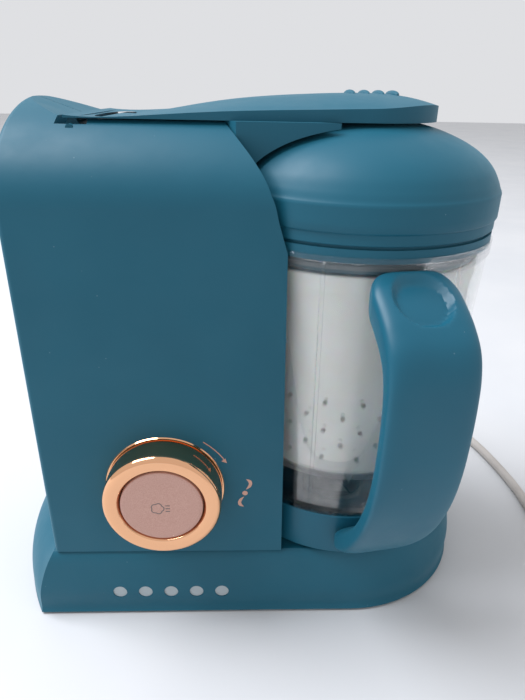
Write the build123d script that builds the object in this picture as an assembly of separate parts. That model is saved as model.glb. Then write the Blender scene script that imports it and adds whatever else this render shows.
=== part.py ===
from build123d import *
import math
import os

# Baby food maker: a steam cooker and blender in one housing. Millimetres, +Z up, front towards -Y.
# Everything is laid out from the tower's front panel (y = 0) and the table (z = 0), and the finished
# set is moved so that the origin lies at the centre of the footprint, on the table.

# --- general ----------------------------------------------------------------------------------------
FIT = 0.3               # clearance between pieces that only lie beside each other
RUN = 0.05              # radial clearance of a running fit
SCREW_R = 1.5
HEAD_R = 3.0
HEAD_H = 1.6

# --- jug and lid --------------------------------------------------------------------------------------
JUG_H = 163.5           # rim of the jug above the deck it stands on
JUG_R1 = 64.8           # outside of the clear wall at the top
JUG_TAPER = 6.0         # how much less its radius is at the band
JUG_WALL = 2.6
BAND_H = 25.0           # coloured band round the foot of the jug
BAND_T = 3.0
FLOOR_T = 3.0
HANDLE_AZ = 10.0        # the handle points to the front, turned a little to the right
HANDLE_W = 40.0
HANDLE_EDGE = 5.5
LID_WALL = 2.2
LID_H = 45.4            # from the lid's seam to its flat top
BASKET_GAP = 1.2
BASKET_WALL = 1.6

# --- base ---------------------------------------------------------------------------------------------
BASE_Z = 1.5            # underside of the base above the table, which is the height of the feet
BASE_TOP = 41.0         # deck that the tower and the jug stand on
BASE_FRONT = -4.5       # front edge of the base at the table
BASE_BACK = 144.5
BASE_FLARE = 4.5        # flare of the front, the back and the round end
BASE_WALL = 2.6
PLATE_T = 2.5
LEFT_CORNER = 10.0      # how far the skirt flares at the front left corner
LEFT_BULGE = 31.0       # how far it flares halfway along the left end
FOOT_R = 8.0

# --- tower --------------------------------------------------------------------------------------------
TOWER_LEFT = -118.0
TOWER_DEPTH = 140.0
TOWER_WALL = 2.8
ARCH_H = 40.5           # rise of the curved shoulder
EDGE_R = 2.5
RAMP_X = -96.7          # foot of the ramp behind the arm's left end
RAMP_RISE = 7.3
BAY_LEFT = -27.5        # how far left the recess for the jug reaches

# --- steam arm ----------------------------------------------------------------------------------------
ARM_LEFT = -93.0
ARM_WALL = 2.2
ARM_CORNER = 38.0
HINGE_R = 1.6           # radius of the pin
BARREL_R = 3.2
GROOVE_R = 6.7
GROOVE_GAP = 0.6        # room between the arm's edges and the groove's ends
PIN_HOLD = 2.2          # how far the pin goes into the wall at each end
BARREL_IN = 3.0         # how far the barrel stops short of the arm's edges

# --- dial and button ------------------------------------------------------------------------------------
DIAL_X = -56.6
DIAL_UP = 43.4          # height of its middle above the deck
DIAL_R = 29.0
DIAL_OUT = 16.0         # how far the dial stands out from the panel
DIAL_GAP = 1.0
DIAL_WALL = 2.8         # wall of the sleeve that passes through the panel
BUTTON_R = 20.2
BUTTON_GAP = 0.4
BUTTON_TRAVEL = 2.5
STEM_R = 4.0

# --- drive ----------------------------------------------------------------------------------------------
MOTOR_TEETH = 14
DRIVE_TEETH = 42
PITCH = 3.0             # pitch of the belt's teeth
BELT_W = 9.0
BELT_T = 1.6
BELT_Z = 14.0           # underside of the belt
SPINDLE_R = 4.0
SHAFT_R = 2.5
MOTOR_R = 27.0          # half the width of the stator
STACK_H = 22.0

# --- boiler ---------------------------------------------------------------------------------------------
BOILER_R = 32.0
BOILER_H = 66.0
BOILER_WALL = 1.5
MOUTH_R = 12.0
COLLAR_T = 3.0          # wall of the seal round the boiler's mouth
HEATER_T = 4.0

# --- mains cord -----------------------------------------------------------------------------------------
CORD_D = 6.5
RELIEF_R = 7.0
CORD_POINTS = [
    (20.0, 172.5, 14.0), (20.5, 188.0, 12.8), (29.0, 207.0, 5.4), (50.0, 223.5, 3.25),
    (81.0, 232.5, 3.25), (114.0, 229.5, 3.25), (143.0, 213.5, 3.25), (164.5, 189.0, 3.25),
    (176.5, 160.0, 3.25), (183.0, 128.0, 3.25), (186.5, 97.0, 3.25), (185.5, 68.0, 3.25),
    (181.8, 42.0, 3.25),
]
PLUG_POINTS = [
    (257.0, 42.0, 9.0), (257.6, 57.0, 9.4), (259.6, 72.0, 8.0), (260.2, 87.0, 7.0),
]
COIL_X = 221.0
COIL_Y = 40.0
COIL_R = 36.0           # middle of the coil's turns
COIL_WIDE = 2           # turns side by side
COIL_HIGH = 1.88        # height in diameters, with the upper turns sunk between the lower ones
PLUG_W = 17.0
PLUG_L = 36.0
PLUG_T = 14.0
PIN_R = 2.0
PIN_L = 19.0
PIN_APART = 4.75        # each pin from the plug's middle
FLANGE_R = 9.0          # flange of the strain relief inside the wall
FLANGE_W = 2.4
CLAMP_HALF = 12.0

# --- sizes that follow ------------------------------------------------------------------------------------
JUG_R0 = JUG_R1 - JUG_TAPER
BAND_R = JUG_R0 + 0.4
LID_R = JUG_R1 + 1.6
BAY_R0 = JUG_R1 + 0.8   # recess round the jug, at the deck
BAY_R1 = JUG_R1 + 2.2   # the same below the lid
BAY_R2 = LID_R + 4.6    # the same round the lid
JUG_X = BAY_LEFT + BAY_R1
JUG_Y = BASE_FRONT + 0.3 + BAND_R
MID_Y = 0.5 * (BASE_FRONT + BASE_BACK)
END_X = JUG_X + 5.0     # centre of the base's round right end
LEFT_X = TOWER_LEFT - 1.0
BAND_Z0 = BASE_TOP + 2.0
BAND_Z1 = BAND_Z0 + BAND_H
RIM_Z = BASE_TOP + JUG_H
WALL_Z1 = RIM_Z - 8.5   # where the clear wall turns upright
LID_Z0 = RIM_Z + 7.5
LID_TOP = LID_Z0 + LID_H
ARCH_TOP = LID_TOP + 7.1
ARCH_Z = ARCH_TOP - ARCH_H
DECK_Z = ARCH_TOP - 8.5  # flat top that the steam arm closes on
TOWER_MID = 0.5 * TOWER_DEPTH
TOWER_RIGHT = JUG_X + 12.5
ARM_Z = DECK_Z + 0.6
ARM_RIGHT = JUG_X + 35.0
ARM_HALF = TOWER_MID * math.sqrt(1 - ((DECK_Z - ARCH_Z) / ARCH_H) ** 2) + 3.1
GROOVE_HALF = ARM_HALF + GROOVE_GAP
HINGE_X = ARM_LEFT + 3.0
HINGE_Z = ARM_Z - 3.8
FLOOR_Z = BAND_Z0 + 21.0
DIAL_Z = BASE_TOP + DIAL_UP
DIAL_BORE = BUTTON_R + BUTTON_GAP
DIAL_SLEEVE = DIAL_BORE + DIAL_WALL
MOTOR_X = BAY_LEFT - TOWER_WALL - MOTOR_R - 4.7
MOTOR_Y = TOWER_MID + 16.0
BOILER_X = JUG_X - BAY_R2 - TOWER_WALL - BOILER_R - 1.2
BOILER_Z1 = DECK_Z - 18.0
BOILER_Z0 = BOILER_Z1 - BOILER_H
MOUTH_X = BOILER_X + BOILER_R - MOUTH_R - 4.5

FAR = 300.0             # longer than anything that is cut
nodes = {}


def keep(name, shape):
    """Store one piece under the name of its node."""
    nodes[name] = shape


def box(x0, x1, y0, y1, z0, z1):
    """Return a box between two corners."""
    size = Box(abs(x1 - x0), abs(y1 - y0), abs(z1 - z0))
    return Pos(0.5 * (x0 + x1), 0.5 * (y0 + y1), 0.5 * (z0 + z1)) * size


def cyl(x, y, z0, z1, r):
    """Return an upright cylinder."""
    return Pos(x, y, 0.5 * (z0 + z1)) * Cylinder(r, z1 - z0)


def tube(x, y, z0, z1, r_in, r_out):
    """Return an upright tube."""
    return cyl(x, y, z0, z1, r_out) - cyl(x, y, z0 - 1, z1 + 1, r_in)


def cyl_y(x, z, y0, y1, r):
    """Return a cylinder along Y."""
    return Pos(x, 0.5 * (y0 + y1), z) * Rot(90, 0, 0) * Cylinder(r, y1 - y0)


def turned(points, x=0.0, y=0.0):
    """Revolve a closed outline of (radius, height) points about an upright axis at x, y."""
    wire = Polyline(*[(r, 0, z) for r, z in points], close=True)
    return Pos(x, y, 0) * revolve(make_face(wire), axis=Axis.Z)


def turned_y(points, x, z):
    """Revolve (radius, y) points about an axis along Y through x, z."""
    wire = Polyline(*[(r, y, 0) for r, y in points], close=True)
    return Pos(x, 0, z) * revolve(make_face(wire), axis=Axis.Y)


def ring_places(count, radius, x, y, start=0.0):
    """Return the places of a ring of pieces, each turned to face outwards."""
    places = []
    for i in range(count):
        angle = start + 360.0 * i / count
        places.append(Pos(x, y, 0) * Rot(0, 0, angle) * Pos(radius, 0, 0))
    return places


# --- base ---------------------------------------------------------------------------------------------------
SHARES = (0.0, 0.3, 0.55, 0.75, 0.88, 0.95, 1.0)
BOSS_R = 4.0
BOSS_IN = 18.0          # how far the screw bosses stand inside the base's edge
FEET_X = (TOWER_LEFT + 18, JUG_X + 30)
FEET_Y = (MID_Y - 52, MID_Y + 52)
BOSSES = [(TOWER_LEFT + 14, MID_Y - 26), (TOWER_LEFT + 14, MID_Y + 26),
          (BAY_LEFT + 7.5, BASE_FRONT + BOSS_IN), (BAY_LEFT + 7.5, BASE_BACK - BOSS_IN),
          (END_X + 46, MID_Y - 24), (END_X + 46, MID_Y + 24)]
SCREW_L = 15.0
WINDOW_STEP = 14.0
WINDOW_COUNT = 5
WINDOW_R = 3.8
WINDOW_Z = 15.5
SEAT_R = 42.5           # raised seat that centres the jug
SEAT_WALL = 2.5
SEAT_H = 4.6
LUGS = 3                # bayonet lugs of the seat and tabs of the jug
LUG_START = 30.0
LUG_W = 16.0
LUG_OUT = 7.0
LUG_T = 1.8
TAB_Z = BASE_TOP + 0.4
SLOT_COUNT = 6          # air slots in the base plate
SLOT_STEP = 9.0
SLOT_W = 4.0
SLOT_Y0 = -10.0         # ends of the slots from the middle of the base
SLOT_Y1 = 40.0
RECESS_L = 3.6          # cross recess of the screws
RECESS_W = 0.8
CABLE_HALF = 10.0       # half the passage for wires from the base to the tower
LENS_T = 2.0
GUIDE_R = 2.0           # light guide behind each lens
GUIDE_L = 6.0
LAMP_HALF = 1.6
LAMP_T = 1.2
LAMP_GAP = 0.4
LAMP_BOARD_T = 1.6
LAMP_BOARD_HALF = 9.0
LAMP_BOARD_END = 8.0    # board beyond the last lamp
BEARING_R = 11.0
CORD_X = CORD_POINTS[0][0]
CORD_Z = CORD_POINTS[0][2]


def flare(t):
    """Return how far the base's long sides have drawn in at the share t of its height."""
    return BASE_FLARE * t ** 1.8 + 2.0 * max(0.0, (t - 0.9) / 0.1) ** 2


def base_section(t, inset):
    """Return the base's outline at the share t of its height, moved in by inset."""
    z = BASE_Z + t * (BASE_TOP - BASE_Z)
    front = BASE_FRONT + flare(t) + inset
    back = BASE_BACK - flare(t) - inset
    corner = LEFT_X - LEFT_CORNER * (1 - t ** 2.2) + inset
    bulge = LEFT_X - LEFT_BULGE * (1 - t ** 2.6) ** 0.6 - 1.0 + inset
    right = END_X + 0.5 * (back - front)
    front_line = Line((corner, front, z), (END_X, front, z))
    round_end = ThreePointArc((END_X, front, z), (right, MID_Y, z), (END_X, back, z))
    back_line = Line((END_X, back, z), (corner, back, z))
    left_end = ThreePointArc((corner, back, z), (bulge, MID_Y, z), (corner, front, z))
    return make_face([front_line, round_end, back_line, left_end])


def window_places():
    """Return the X places of the indicator windows."""
    first = DIAL_X - 0.5 * (WINDOW_COUNT - 1) * WINDOW_STEP
    return [first + i * WINDOW_STEP for i in range(WINDOW_COUNT)]


def build_housing():
    """Make the hollow base with its jug seat, screw bosses and windows."""
    inner_top = (BASE_TOP - BASE_WALL - BASE_Z) / (BASE_TOP - BASE_Z)
    outer = loft([base_section(t, 0.0) for t in SHARES])
    inner = loft([base_section(t * inner_top, BASE_WALL) for t in SHARES])
    housing = outer - inner
    seat_top = BASE_TOP + SEAT_H
    housing = housing + tube(JUG_X, JUG_Y, BASE_TOP - 0.5, seat_top, SEAT_R - SEAT_WALL, SEAT_R)
    lug = Pos(0, 0, seat_top - 0.5 * LUG_T) * Box(2 * LUG_OUT, LUG_W, LUG_T)
    housing = housing + [p * lug for p in ring_places(LUGS, SEAT_R - 0.5, JUG_X, JUG_Y, LUG_START)]
    housing = housing - cyl(JUG_X, JUG_Y, BASE_TOP, seat_top + 1, SEAT_R - SEAT_WALL)
    ceiling = BASE_TOP - BASE_WALL + 0.5
    for x, y in BOSSES:
        housing = housing + cyl(x, y, BASE_Z + PLATE_T, ceiling, BOSS_R)
        housing = housing - cyl(x, y, BASE_Z, BASE_Z + SCREW_L + 2, SCREW_R + RUN)
    housing = housing - cyl(JUG_X, JUG_Y, ceiling - 5, BASE_TOP + 1, BEARING_R)
    housing = housing - cyl(MOTOR_X, MOTOR_Y, ceiling - 5, BASE_TOP + 1, SHAFT_R + 4)
    housing = housing - box(TOWER_LEFT + 6, TOWER_LEFT + 22, TOWER_MID - CABLE_HALF,
                            TOWER_MID + CABLE_HALF, ceiling - 5, BASE_TOP + 1)
    housing = housing - cyl_y(CORD_X, CORD_Z, BASE_BACK - 10, BASE_BACK + 5, RELIEF_R)
    for x in window_places():
        housing = housing - cyl_y(x, WINDOW_Z, BASE_FRONT - 2, BASE_FRONT + 10, WINDOW_R)
    keep("base_housing", housing)


def build_underside():
    """Make the plate that closes the base, its feet and its screws."""
    plate_z = BASE_Z + PLATE_T
    low = (PLATE_T + 1) / (BASE_TOP - BASE_Z)
    full = loft([base_section(0.0, BASE_WALL + FIT), base_section(low, BASE_WALL + FIT)])
    plate = full & box(-FAR, FAR, -FAR, FAR, BASE_Z, plate_z)
    for x, y in BOSSES:
        plate = plate - cyl(x, y, BASE_Z - 1, plate_z + 1, SCREW_R + 0.2)
        plate = plate - cyl(x, y, BASE_Z - 1, BASE_Z + HEAD_H, HEAD_R + FIT)
    for i in range(SLOT_COUNT):
        x = MOTOR_X + SHAFT_R + 8 + i * SLOT_STEP
        plate = plate - box(x, x + SLOT_W, MID_Y + SLOT_Y0, MID_Y + SLOT_Y1, BASE_Z - 1, plate_z + 1)
    keep("base_plate", plate)
    feet = []
    for x in FEET_X:
        for y in FEET_Y:
            foot = cyl(x, y, 0, BASE_Z, FOOT_R)
            feet.append(fillet(foot.edges().group_by(Axis.Z)[0], 0.4 * BASE_Z))
    keep("rubber_feet", feet)
    screws = []
    for x, y in BOSSES:
        head = cyl(x, y, BASE_Z, BASE_Z + HEAD_H, HEAD_R)
        head = head - Pos(x, y, BASE_Z) * Box(RECESS_L, RECESS_W, HEAD_H)
        head = head - Pos(x, y, BASE_Z) * Box(RECESS_W, RECESS_L, HEAD_H)
        screws.append(head + cyl(x, y, BASE_Z + HEAD_H, BASE_Z + SCREW_L, SCREW_R))
    keep("base_screws", screws)


def build_indicators():
    """Make the window lenses in the base's front and the board that lights them."""
    t = (WINDOW_Z - BASE_Z) / (BASE_TOP - BASE_Z)
    face_y = BASE_FRONT + flare(t) + 0.35
    back_y = face_y + LENS_T
    lenses = []
    for x in window_places():
        lens = cyl_y(x, WINDOW_Z, face_y, back_y, WINDOW_R - RUN)
        lenses.append(lens + cyl_y(x, WINDOW_Z, back_y, back_y + GUIDE_L, GUIDE_R))
    keep("indicator_lenses", lenses)
    half = 0.5 * (WINDOW_COUNT - 1) * WINDOW_STEP + LAMP_BOARD_END
    lamp_y = back_y + GUIDE_L + LAMP_GAP
    board_y = lamp_y + LAMP_T
    low = WINDOW_Z - LAMP_BOARD_HALF
    high = WINDOW_Z + LAMP_BOARD_HALF
    board = box(DIAL_X - half, DIAL_X + half, board_y, board_y + LAMP_BOARD_T, low, high)
    for x in window_places():
        board = board + box(x - LAMP_HALF, x + LAMP_HALF, lamp_y, board_y, WINDOW_Z - LAMP_HALF,
                            WINDOW_Z + LAMP_HALF)
    keep("indicator_board", board)


# --- tower --------------------------------------------------------------------------------------------------
POST_R = 4.0
SUNK_R = 5.0            # rear post that takes the screw's head
POST_X = TOWER_LEFT + 11.0
POSTS = [(POST_X, BASE_TOP + 20), (POST_X, BASE_TOP + 95), (POST_X, DECK_Z - 46),
         (BAY_LEFT - 9.5, BASE_TOP + 79)]
SEAM = 0.3              # half the width of the joint line between the shells
VENTS = 7
VENT_STEP = 7.0
VENT_HALF = 24.0
VENT_H = 3.0
BACK_EDGE_R = 9.0
RABBET = 0.9            # shadow line at the tower's foot
SEAM_DEPTH = 0.6
SEAT_BEHIND = 4.0       # wall that the tower screws' heads pull on
THREAD_L = 14.0
HOLE_GAP = 2.0          # between the dial's sleeve and the hole in the panel


def arch(inset, x0, x1, z0):
    """Return the tower's solid outline between x0 and x1, moved in by inset."""
    flat = Pos(TOWER_MID, 0.5 * (z0 + ARCH_Z)) * Rectangle(TOWER_DEPTH - 2 * inset, ARCH_Z - z0)
    cap = Pos(TOWER_MID, ARCH_Z) * Ellipse(TOWER_MID - inset, ARCH_H - inset)
    return Pos(x0, 0, 0) * extrude(Plane.YZ * (flat + cap), amount=x1 - x0)


def bay(extra):
    """Return the round recess for the jug and lid, made wider by extra."""
    return turned([(0, 0), (BAY_R0 + extra, 0), (BAY_R0 + extra, BASE_TOP), (BAY_R1 + extra, LID_Z0 - 6),
                   (BAY_R1 + 2.4 + extra, LID_Z0 + 7), (BAY_R2 + extra, LID_Z0 + 18),
                   (BAY_R2 + extra, ARCH_TOP + 40), (0, ARCH_TOP + 40)], JUG_X, JUG_Y)


def above_top(drop):
    """Return what is cut away above the ramp and the deck, lowered by drop."""
    high = ARCH_TOP + 40
    points = [(TOWER_LEFT - 1, ARCH_TOP + 0.3 - drop), (RAMP_X, ARCH_TOP - RAMP_RISE - drop),
              (RAMP_X, DECK_Z - drop), (FAR, DECK_Z - drop), (FAR, high), (TOWER_LEFT - 1, high)]
    wire = Polyline(*[(x, 0, z) for x, z in points], close=True)
    return Pos(0, FAR, 0) * extrude(make_face(wire), amount=2 * FAR, dir=(0, -1, 0))


def tower_solid():
    """Return the tower's outer solid with its rounded edges."""
    outer = arch(0, TOWER_LEFT, TOWER_RIGHT, BASE_TOP)
    side = outer.edges().filter_by_position(Axis.X, TOWER_LEFT - 0.1, TOWER_LEFT + 0.1)
    outer = fillet(side.filter_by(lambda e: e.center().Z > BASE_TOP + 1), EDGE_R)
    tall = outer.edges().filter_by(Axis.Z)
    tall = tall.filter_by(lambda e: e.center().X > TOWER_RIGHT - 1 and e.center().Y > TOWER_MID)
    return fillet(tall, BACK_EDGE_R)


def hinge_cuts():
    """Return the groove and the bores for the arm's barrel and pin."""
    y0 = TOWER_MID - GROOVE_HALF
    y1 = TOWER_MID + GROOVE_HALF
    top = ARCH_TOP + 5
    groove = cyl_y(HINGE_X, HINGE_Z, y0, y1, GROOVE_R)
    slot = box(HINGE_X - GROOVE_R, HINGE_X + GROOVE_R, y0, y1, HINGE_Z, top)
    room = box(RAMP_X, HINGE_X, 0, TOWER_DEPTH, DECK_Z, top)
    hold = PIN_HOLD + FIT
    bore = cyl_y(HINGE_X, HINGE_Z, y0 - hold, y1 + hold, HINGE_R + RUN)
    return [groove, slot, room, bore]


def build_tower():
    """Make the front and rear shells of the tower and the screws that join them."""
    w = TOWER_WALL
    inner = arch(w, TOWER_LEFT + w, TOWER_RIGHT - w, BASE_TOP - 1) - bay(w) - above_top(w)
    inner = inner - cyl_y(HINGE_X, HINGE_Z, 0, TOWER_DEPTH, GROOVE_R + w)
    body = tower_solid() - above_top(0) - bay(0) - inner - hinge_cuts()
    body = body - cyl(MOUTH_X, TOWER_MID, DECK_Z - 10, DECK_Z + 5, MOUTH_R + COLLAR_T + FIT)
    body = body - cyl_y(DIAL_X, DIAL_Z, -5, w + 1, DIAL_SLEEVE + HOLE_GAP)
    rabbet = box(-FAR, FAR, -FAR, FAR, BASE_TOP - 1, BASE_TOP + 0.5)
    body = body - (rabbet - arch(RABBET, TOWER_LEFT + RABBET, TOWER_RIGHT - RABBET, BASE_TOP - 1))
    line = box(TOWER_LEFT - 1, RAMP_X, TOWER_MID - SEAM, TOWER_MID + SEAM, 0, FAR)
    body = body - (line - arch(SEAM_DEPTH, TOWER_LEFT + SEAM_DEPTH, TOWER_RIGHT, BASE_TOP - 1))
    body = body - (line & above_top(SEAM_DEPTH))
    front = body & box(-FAR, FAR, -FAR, TOWER_MID, 0, 2 * FAR)
    rear = body & box(-FAR, FAR, TOWER_MID, FAR, 0, 2 * FAR)
    screws = []
    for x, z in POSTS:
        front = front + cyl_y(x, z, w - 0.5, TOWER_MID, POST_R)
        front = front - cyl_y(x, z, TOWER_MID - THREAD_L - 6, TOWER_MID + 1, SCREW_R + RUN)
        rear = rear + cyl_y(x, z, TOWER_MID, TOWER_DEPTH - w + 0.5, SUNK_R)
        rear = rear - cyl_y(x, z, TOWER_MID - 1, TOWER_MID + SEAT_BEHIND + 1, SCREW_R + 0.2)
        seat = TOWER_MID + SEAT_BEHIND
        rear = rear - cyl_y(x, z, seat, TOWER_DEPTH + 1, HEAD_R + FIT)
        head = cyl_y(x, z, seat, seat + HEAD_H, HEAD_R)
        screws.append(head + cyl_y(x, z, TOWER_MID - THREAD_L, seat, SCREW_R))
    for i in range(VENTS):
        z = BASE_TOP + 20 + i * VENT_STEP
        rear = rear - box(MOTOR_X - VENT_HALF, MOTOR_X + VENT_HALF, TOWER_DEPTH - w - 1, TOWER_DEPTH + 1,
                          z, z + VENT_H)
    keep("front_shell", front)
    keep("rear_shell", rear)
    keep("tower_screws", screws)


# --- steam arm ------------------------------------------------------------------------------------------------
ARM_SECTIONS = [            # share of its length, height of the long edges, height of the crest
    (-0.01, 1.3, 1.8), (0.33, 2.8, 5.7), (0.56, 4.3, 10.0), (0.77, 5.3, 11.6), (0.90, 5.4, 10.8),
    (1.01, 3.6, 5.8),
]
DOME = [                    # outside of the lid's dome: radius, then height above the seam
    (LID_R, 16.0), (LID_R - 1.4, 21.0), (LID_R - 4.6, 26.0), (LID_R - 9.9, 31.0),
    (LID_R - 16.9, 35.5), (41.0, 39.3), (32.0, 42.3), (22.0, LID_H - 0.9), (14.0, LID_H),
]
OUTLET_R = 6.0              # bore of the steam nozzle
NOZZLE_R = 8.5
PAN_R = 41.0
PAN_T = 1.4
PAN_Z = LID_TOP + 2.4
SKIRT_H = 20.0              # how far the skirt hangs below the arm
SKIRT_X = JUG_X - 12.5      # its right end
SKIRT_FRONT = 5.0           # how far it stands in front of the arm
SKIRT_T = 2.2
LID_ROOM = 1.8              # gap between the lid's dome and the skirt
GRIPS = 4                   # finger ridges on the arm's end
GRIP_X = JUG_X - 5.5
GRIP_STEP = 7.0
GRIP_Z = 11.0
GRIP_SIZE = (2.3, 11.0, 2.0)
PLATE = 1.2                 # thickness of the arm's underside
NOZZLE_GAP = 1.4            # between the nozzle's tip and the lid
NOZZLE_SEAL_T = 3.5
MOUTH_SEAL_T = 2.2


def arm_body(drop):
    """Return the arm's solid under its curved top, lowered by drop."""
    faces = []
    y0 = TOWER_MID - ARM_HALF - 1
    y1 = TOWER_MID + ARM_HALF + 1
    z0 = ARM_Z - 12
    for share, edge, crest in ARM_SECTIONS:
        x = ARM_LEFT + share * (ARM_RIGHT - ARM_LEFT)
        side = ARM_Z + edge - drop
        roof = ThreePointArc((x, y0, side), (x, TOWER_MID, ARM_Z + crest - drop), (x, y1, side))
        floor = Polyline((x, y1, side), (x, y1, z0), (x, y0, z0), (x, y0, side))
        faces.append(make_face([roof, floor]))
    return loft(faces)


def arm_plan(inset, x0, z0, z1):
    """Return an upright prism of the arm's outline seen from above, moved in by inset."""
    x1 = ARM_RIGHT - inset
    half = ARM_HALF - inset
    prism = box(x0, x1, TOWER_MID - half, TOWER_MID + half, z0, z1)
    tall = prism.edges().filter_by(Axis.Z).filter_by(lambda e: e.center().X > x1 - 1)
    return fillet(tall, ARM_CORNER - inset)


def dome_points(extra):
    """Return the dome's outline, moved out and up by extra."""
    points = [(DOME[0][0] + extra, 0, LID_Z0 + DOME[0][1])]
    for r, h in DOME[1:]:
        points.append((r + extra, 0, LID_Z0 + h + extra))
    return points


def dome_solid(extra, z0):
    """Return the full solid under the dome, from z0 up."""
    points = dome_points(extra)
    low, high = points[0], points[-1]
    rest = Polyline(high, (0, 0, high[2]), (0, 0, z0), (low[0], 0, z0), low)
    return Pos(JUG_X, JUG_Y, 0) * revolve(make_face([Spline(*points), rest]), axis=Axis.Z)


def build_cover():
    """Make the arm's cover with its hinge barrel, its grips and the hinge pin."""
    top = ARM_Z + 30
    solid = arm_body(0) & arm_plan(0, ARM_LEFT, ARM_Z, top)
    hollow = arm_body(ARM_WALL) & arm_plan(ARM_WALL, MOUTH_X - MOUTH_R - 4, ARM_Z - 1, top)
    y0 = TOWER_MID - ARM_HALF + BARREL_IN
    y1 = TOWER_MID + ARM_HALF - BARREL_IN
    cover = solid - hollow
    cover = cover + box(HINGE_X - 2.2, HINGE_X + 1.8, y0, y1, HINGE_Z, ARM_Z + 0.6)
    cover = cover + cyl_y(HINGE_X, HINGE_Z, y0, y1, BARREL_R)
    cover = cover - cyl_y(HINGE_X, HINGE_Z, y0 - 1, y1 + 1, HINGE_R + RUN)
    for i in range(GRIPS):
        grip = scale(Sphere(1.0), by=GRIP_SIZE)
        cover = cover + Pos(GRIP_X + i * GRIP_STEP, TOWER_MID, ARM_Z + GRIP_Z) * grip
    keep("arm_cover", cover)
    reach = GROOVE_HALF + PIN_HOLD
    keep("arm_hinge_pin", cyl_y(HINGE_X, HINGE_Z, TOWER_MID - reach, TOWER_MID + reach, HINGE_R))


def build_steam_path():
    """Make the arm's underside with its skirt, steam pan and nozzle, and the two steam seals."""
    below = DECK_Z - 60
    inside = arm_body(ARM_WALL + FIT) & arm_plan(ARM_WALL + FIT, MOUTH_X - MOUTH_R - 3, below, ARM_Z + 20)
    plate = inside & box(-FAR, FAR, -FAR, FAR, ARM_Z, ARM_Z + PLATE)
    flange_z = ARM_Z - 1.7
    r = BAY_R2 - 0.7
    front = TOWER_MID - ARM_HALF - SKIRT_FRONT
    back = TOWER_MID + ARM_HALF + SKIRT_FRONT
    block = cyl(JUG_X, JUG_Y, DECK_Z - SKIRT_H, ARM_Z, r) & box(-FAR, SKIRT_X, front, back, below, ARM_Z)
    room = cyl(JUG_X, JUG_Y, below, flange_z, r - SKIRT_T)
    room = room & box(-FAR, SKIRT_X - SKIRT_T, front + SKIRT_T, back - SKIRT_T, below, flange_z)
    skirt = block - room - dome_solid(LID_ROOM, below)
    mouth = cyl(JUG_X, JUG_Y, below, ARM_Z + 2, PAN_R - PAN_T)
    rim = tube(JUG_X, JUG_Y, ARM_Z - 0.5, PAN_Z + PAN_T, PAN_R - PAN_T, PAN_R) & inside
    pan = tube(JUG_X, JUG_Y, PAN_Z, PAN_Z + PAN_T, OUTLET_R, PAN_R) & inside
    under = (plate + skirt) - mouth + rim + pan
    under = under + tube(JUG_X, JUG_Y, LID_TOP + NOZZLE_GAP, PAN_Z + 0.5, OUTLET_R, NOZZLE_R)
    under = under - cyl(MOUTH_X, TOWER_MID, ARM_Z - 1, ARM_Z + 10, MOUTH_R)
    keep("arm_underside", under)
    keep("nozzle_seal", tube(JUG_X, JUG_Y, LID_TOP + FIT, PAN_Z, NOZZLE_R, NOZZLE_R + NOZZLE_SEAL_T))
    inner = MOUTH_R + 0.4
    keep("boiler_seal", tube(MOUTH_X, TOWER_MID, DECK_Z + 0.1, ARM_Z, inner, inner + MOUTH_SEAL_T))


# --- lid, jug, basket and handle --------------------------------------------------------------------------------
BOTTOM_R = BAND_R - BAND_T - 0.1   # outside of the clear vessel inside the band
BUSH_R = 10.0
BUSH_TOP = FLOOR_Z + 13.0
RIBS = 6
RIB_START = -22.0
RIB_IN = 0.9                # how far a rib stands in from the wall
BASKET_Z0 = FLOOR_Z + 24.0
BASKET_TOP = RIM_Z - 14.5
BASKET_ROWS = 5
BASKET_HOLES = 20
ROW_STEP = 8.0
HOLE_R = 1.3
FLOOR_HOLE_R = 1.5
RIB_HALF = 0.7
TAB_T = 1.7
TAB_IN = 1.5                # gap between a tab and the seat
BUSH_DROP = 6.0             # how far the bush hangs below the floor
HANDLE_OUT = [              # outer edge of the grip: distance out from the rim, share of the jug's height
    (2.7, 0.997), (11.2, 0.969), (25.7, 0.890), (33.2, 0.835), (38.2, 0.740), (40.2, 0.630),
    (39.7, 0.508), (36.2, 0.385), (29.2, 0.275), (18.2, 0.159), (7.2, 0.073), (-2.8, 0.028),
]
HANDLE_IN = [               # inner edge of the grip, from the foot up
    (-6.3, 0.128), (1.2, 0.168), (11.2, 0.239), (20.2, 0.330), (24.7, 0.422), (26.7, 0.532),
    (26.7, 0.642), (24.2, 0.728), (19.2, 0.789), (11.2, 0.832), (2.7, 0.872),
]


def wall_radius(z):
    """Return the outside radius of the clear wall at the height z."""
    return JUG_R0 + (JUG_R1 - JUG_R0) * (z - BAND_Z1) / (WALL_Z1 - BAND_Z1)


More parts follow.
